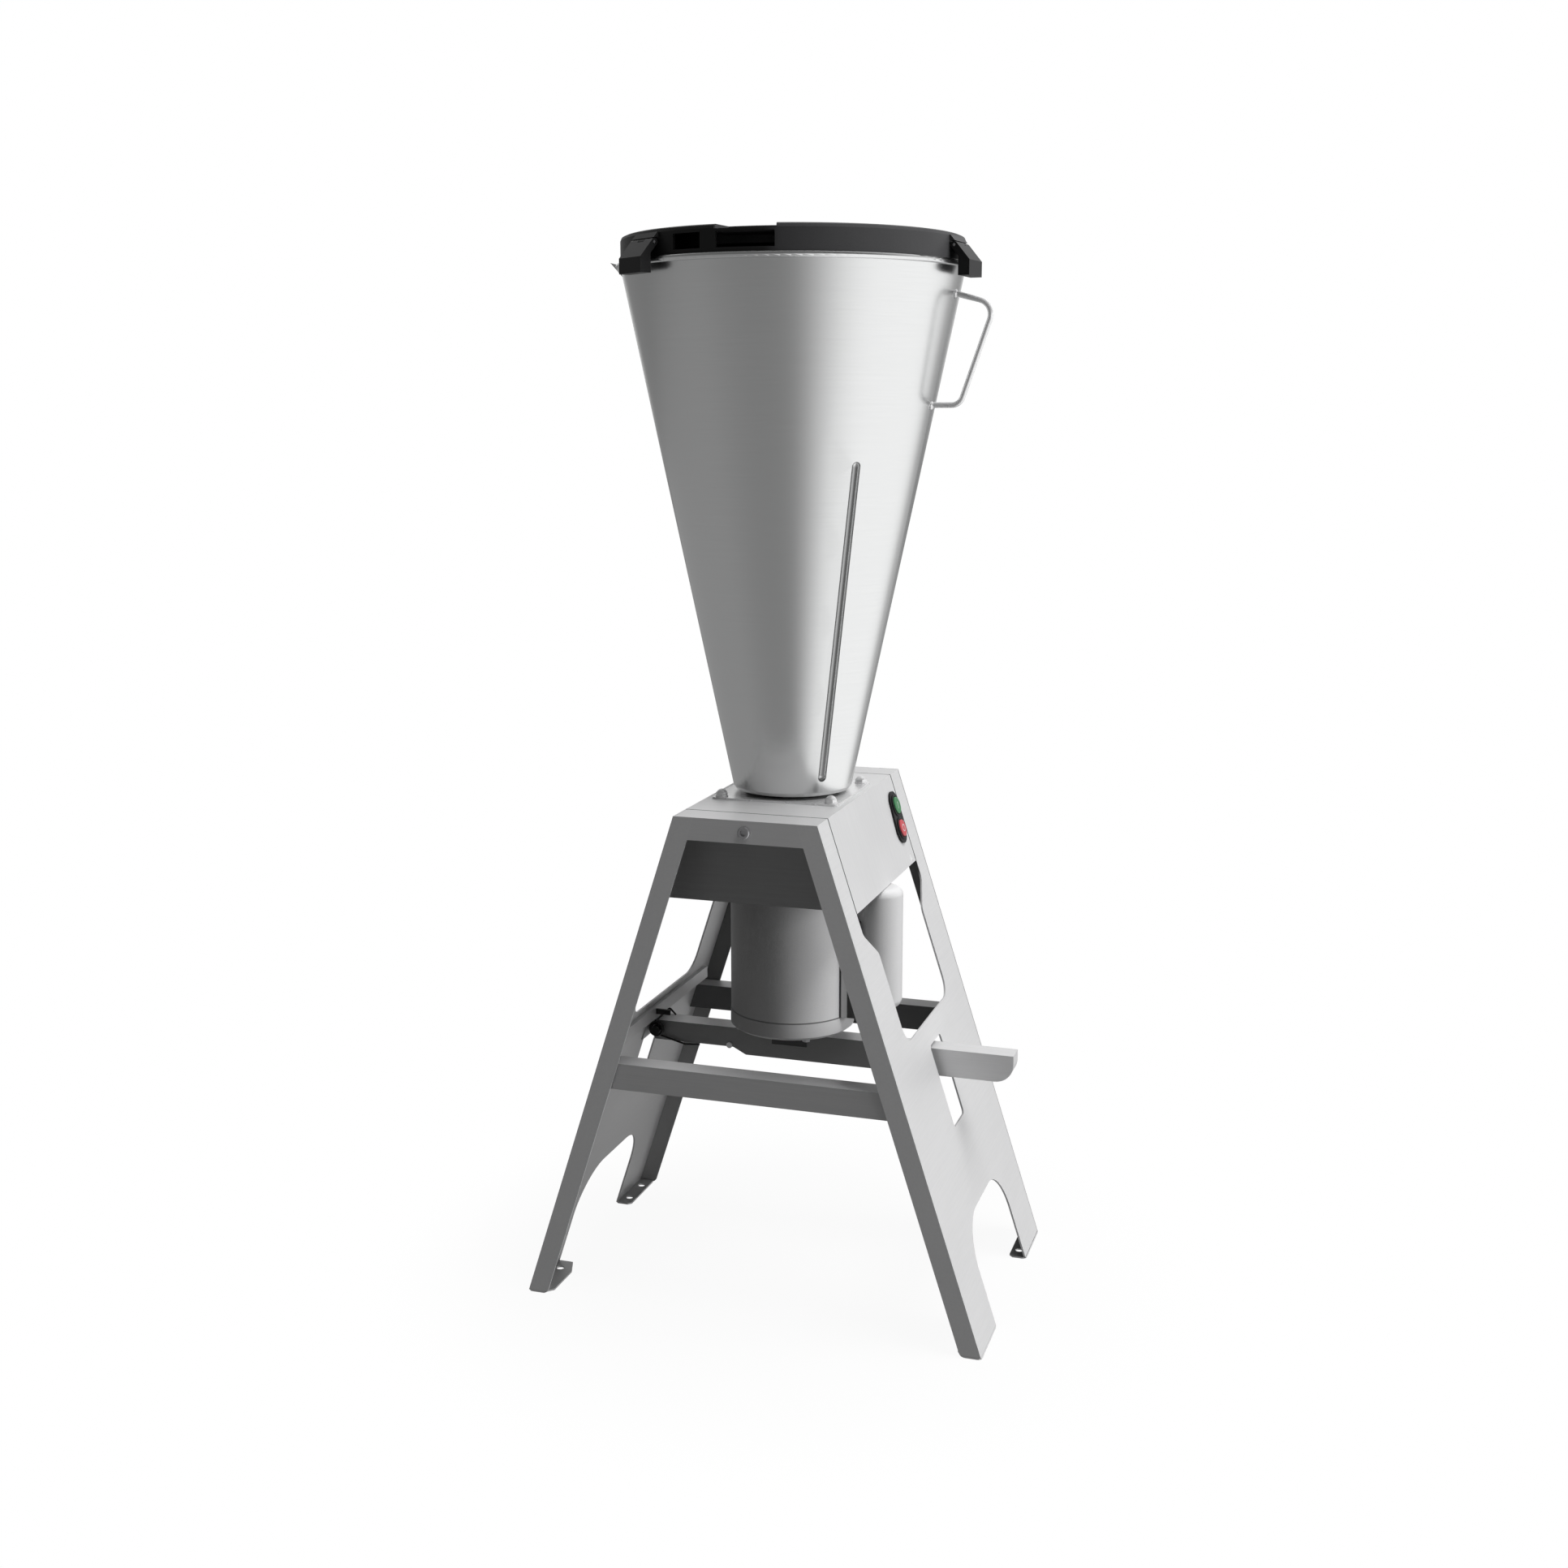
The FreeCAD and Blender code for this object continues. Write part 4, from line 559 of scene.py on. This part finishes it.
# Capacitor: drawn aluminium can under a grey plastic sleeve. It stands beside the
# motor, on the saddle's hollow side.
capacitor_sleeve = mottled("capacitor_sleeve", grey(0.77, 0.005), grey(0.83, 0.005), 0.0, 0.42,
                           900.0)
dress(capacitor_sleeve, "capacitor")

# Saddle: cast block between motor and capacitor, shaped to both, in pale grey paint.
# Painted shade darkens all of it but a strip of its front face, which is left as a
# painted highlight.
highlight_strip_x = (0.0645, 0.0712)
front_face_y = (-0.0275, -0.0270)


def saddle_painted_shade_and_highlight(x, y, z):
    return 1.0 - x.between(*highlight_strip_x, 0.0006) * (1.0 - y.above(*front_face_y))


saddle_paint = mottled("saddle_paint", grey(0.87), grey(0.93), 0.0, 0.45, 600.0, bump=0.15,
                       shade=saddle_painted_shade_and_highlight, dim=grey(0.05))
dress(saddle_paint, "capacitor_saddle")

# Latch striker: folded bracket of blackened steel, held by two plated screws under
# the motor.
dark_steel = mottled("dark_steel", grey(0.05), grey(0.07), 0.4, 0.45, 500.0, swing=0.12, bump=0.15)
dress(dark_steel, "latch_striker")
dress(bright_steel, "striker_screws")

# Seal and cup bolts: a moulded black seal sleeve in the cup's bottom, and plated
# bolts round it.
dress(black_moulding, "shaft_seal")
dress(bright_steel, "cup_bolts")

# Blades: ground stainless bars, one above the other with a spacer between, held on
# the shaft by a nut.
blade_steel = brushed("blade_steel", 0.68, 1.0, 0.22, (1.0, 50.0, 1.0), 30.0, spread=0.06,
                      cool=0.01)
dress(blade_steel, "lower_blade", "upper_blade", "blade_spacer", "blade_nut")

# Cup: tall cone of stainless sheet, spun and brushed round, with a rolled bead, a
# pressed spout and two long ribs. The spout and the rib in front are darkened with
# painted shade.
spout_x = (-0.196, -0.176)
rib_half_width = (0.0045, 0.0065)
rib_z = (0.577, 0.903)
rib_share = 0.55


def cup_painted_shade(x, y, z):
    spout = 1.0 - x.above(*spout_x)
    beside_rib = (x + y).absolute().above(*rib_half_width)
    rib = (1.0 - beside_rib) * x.above(0.0, 0.01) * z.between(*rib_z, 0.002)
    shade = spout + rib * rib_share
    return shade.at_most(1.0)


cup_steel = finish("cup_steel", (0.66, 0.665, 0.665), 1.0, 0.27,
                   grain((1.0, 1.0, 60.0), 16.0, (0.65, 0.655, 0.655), (0.67, 0.675, 0.675), 0.27,
                         swing=0.01, bump=0.0, shade=cup_painted_shade, dim=grey(0.08), cloudy=False))
dress(cup_steel, "cup")

# Gaskets: black rubber rings, one clamped under the cup and one round the plug of
# the lid.
soft_rubber = mottled("soft_rubber", grey(0.02), grey(0.032), 0.0, 0.7, 600.0, bump=0.3)
dress(soft_rubber, "cup_gasket", "lid_gasket")

# Handle: round stainless bar, bent and polished, welded to the cup at both ends
# with a small bead round each.
weld_places = ((0.1725, 0.0, 1.0735), (0.1491, 0.0, 0.9625))
weld_outline = [(2.6, -0.6), (5.0, -0.6), (4.6, 0.5), (3.7, 1.3), (3.0, 2.0), (2.6, 2.0)]
handle_steel = brushed("handle_steel", 0.92, 0.45, 0.2, even, 120.0, swing=0.06, bump=0.01)
dress(handle_steel, "cup_handle")
weld_form = bmesh.new()
for weld_place in weld_places:
    turned_form(weld_form, weld_outline,
                Matrix.Translation(weld_place) @ Matrix.Rotation(math.radians(90.0), 4, "Y"),
                steps=32)
piece("handle_welds", weld_form, handle_steel, "head")

# Lid: dark moulded rim and deck with grip pockets, a loose filler cap in its middle.
# The outside of the rim is darker at the front left, round the pockets: painted shade.
rim_radius = (0.1735, 0.1760)


def lid_painted_shade(x, y, z):
    outside = ((x * x + y * y) ** 0.5).above(*rim_radius)
    left = 1.0 - (x * 0.95 + y * 0.3).above(-0.03, -0.01)
    return left * outside * (1.0 - y.above(-0.03, 0.05))


lid_moulding = mottled("lid_moulding", grey(0.05, 0.002), grey(0.06, 0.002), 0.0, 0.5, 800.0,
                       swing=0.12, bump=0.2, shade=lid_painted_shade, dim=grey(0.01),
                       Specular_IOR_Level=0.3)
dress(lid_moulding, "lid", "filler_cap")

# Lid clips: moulded flaps that swing out on steel pins in the lid and hook under
# the bead of the cup.
clip_moulding = mottled("clip_moulding", grey(0.011, 0.0005), grey(0.015, 0.0005), 0.0, 0.4, 800.0,
                        swing=0.12, bump=0.2, Specular_IOR_Level=0.2)
dress(clip_moulding, "lid_clip_1", "lid_clip_2", "lid_clip_3")
dress(turned_steel, "clip_pins")

# Pedal lever: folded channel of the plates' sheet, swinging on a pin at its far end.
# The face of its front flange inside the stand is darkened with painted shade; the foot's end
# outside keeps the plain tone.
flange_y = (-0.0124, -0.0122)
shade_end_x = (0.145, 0.16)


def lever_painted_shade(x, y, z):
    return (1.0 - y.above(*flange_y)) * (0.75 - x.above(*shade_end_x) * 0.75)


lever_steel = brushed("lever_steel", 0.78, 0.3, 0.45, brushed_wide, 14.0, shade=lever_painted_shade)
dress(lever_steel, "pedal_lever")
dress(bright_steel, "lever_bolt")

# Lever bearing: bracket welded on the left plate, the pin through it, and the tab
# that holds the spring's hook.
# The bracket is in the darker steel of painted shade.
dress(painted_shade_steel, "lever_bracket")
black_steel = mottled("black_steel", grey(0.012), grey(0.016), 0.0, 0.5, 500.0, swing=0.12,
                      bump=0.15, Specular_IOR_Level=0.2)
dress(black_steel, "lever_pin", "spring_anchor")

# Torsion spring: blackened round wire wound on the pin, one leg under the lever,
# the other hooked over the tab.
pin_x, pin_z = -0.155506, 0.2685
coil_r = 0.0072
coil_near_y, coil_far_y = -0.0228, -0.0156
coil_start = 135.0
coil_steps, coil_step_turn = 80, 15.0
wire_r, wire_sides = 0.00105, 12
hook_steps = ((0.0300, 0.0, 0.0150), (0.0235, 0.0, 0.0215), (0.0225, 0.0, 0.0220),
              (0.0215, 0.0, 0.0215), (0.011, 0.0, 0.011))
leg_end = Vector((-0.1240, -0.0156, 0.25275))
leg_steps = 10
under_lever = ((-0.1230, -0.0154, 0.2525), (-0.1220, -0.0150, 0.2524),
               (-0.1150, -0.0136, 0.2524), (-0.1066, -0.0120, 0.2524))


def wire_form(path, radius, sides):
    """Round wire, extruded ring by ring along a path of points."""
    form = bmesh.new()
    tangents = []
    for i in range(len(path)):
        before = path[max(i - 1, 0)]
        after = path[min(i + 1, len(path) - 1)]
        tangents.append((after - before).normalized())
    turn = tangents[0].to_track_quat("Z", "Y").to_matrix().to_4x4()
    ring = bmesh.ops.create_circle(form, cap_ends=False, segments=sides, radius=radius,
                                   matrix=Matrix.Translation(path[0]) @ turn)["verts"]
    first = edges = list({edge for vert in ring for edge in vert.link_edges})
    for i in range(1, len(path)):
        grown = bmesh.ops.extrude_edge_only(form, edges=edges)["geom"]
        verts = {item for item in grown if isinstance(item, bmesh.types.BMVert)}
        edges = [item for item in grown if isinstance(item, bmesh.types.BMEdge)]
        twist = tangents[i - 1].rotation_difference(tangents[i]).to_matrix().to_4x4()
        bmesh.ops.transform(form, verts=list(verts), matrix=Matrix.Translation(path[i]) @ twist
                            @ Matrix.Translation(-path[i - 1]))
        edges = [edge for edge in edges if verts.issuperset(edge.verts)]
    for rim in (first, edges):
        bmesh.ops.edgeloop_fill(form, edges=rim)
    return form


def coil_point(step):
    angle = math.radians(coil_start + coil_step_turn * step)
    y = coil_near_y + (coil_far_y - coil_near_y) * step / coil_steps
    return Vector((pin_x + coil_r * math.cos(angle), y, pin_z + coil_r * math.sin(angle)))


spring_path = [coil_point(0) + Vector(step) for step in hook_steps]
spring_path += [coil_point(step) for step in range(coil_steps + 1)]
leg_start = spring_path[-1]
spring_path += [leg_start.lerp(leg_end, i / leg_steps) for i in range(1, leg_steps + 1)]
spring_path += [Vector(point) for point in under_lever]
spring = piece("torsion_spring_wire", wire_form(spring_path, wire_r, wire_sides), black_steel)
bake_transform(spring)
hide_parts("torsion_spring")
dress(black_steel, "torsion_spring")
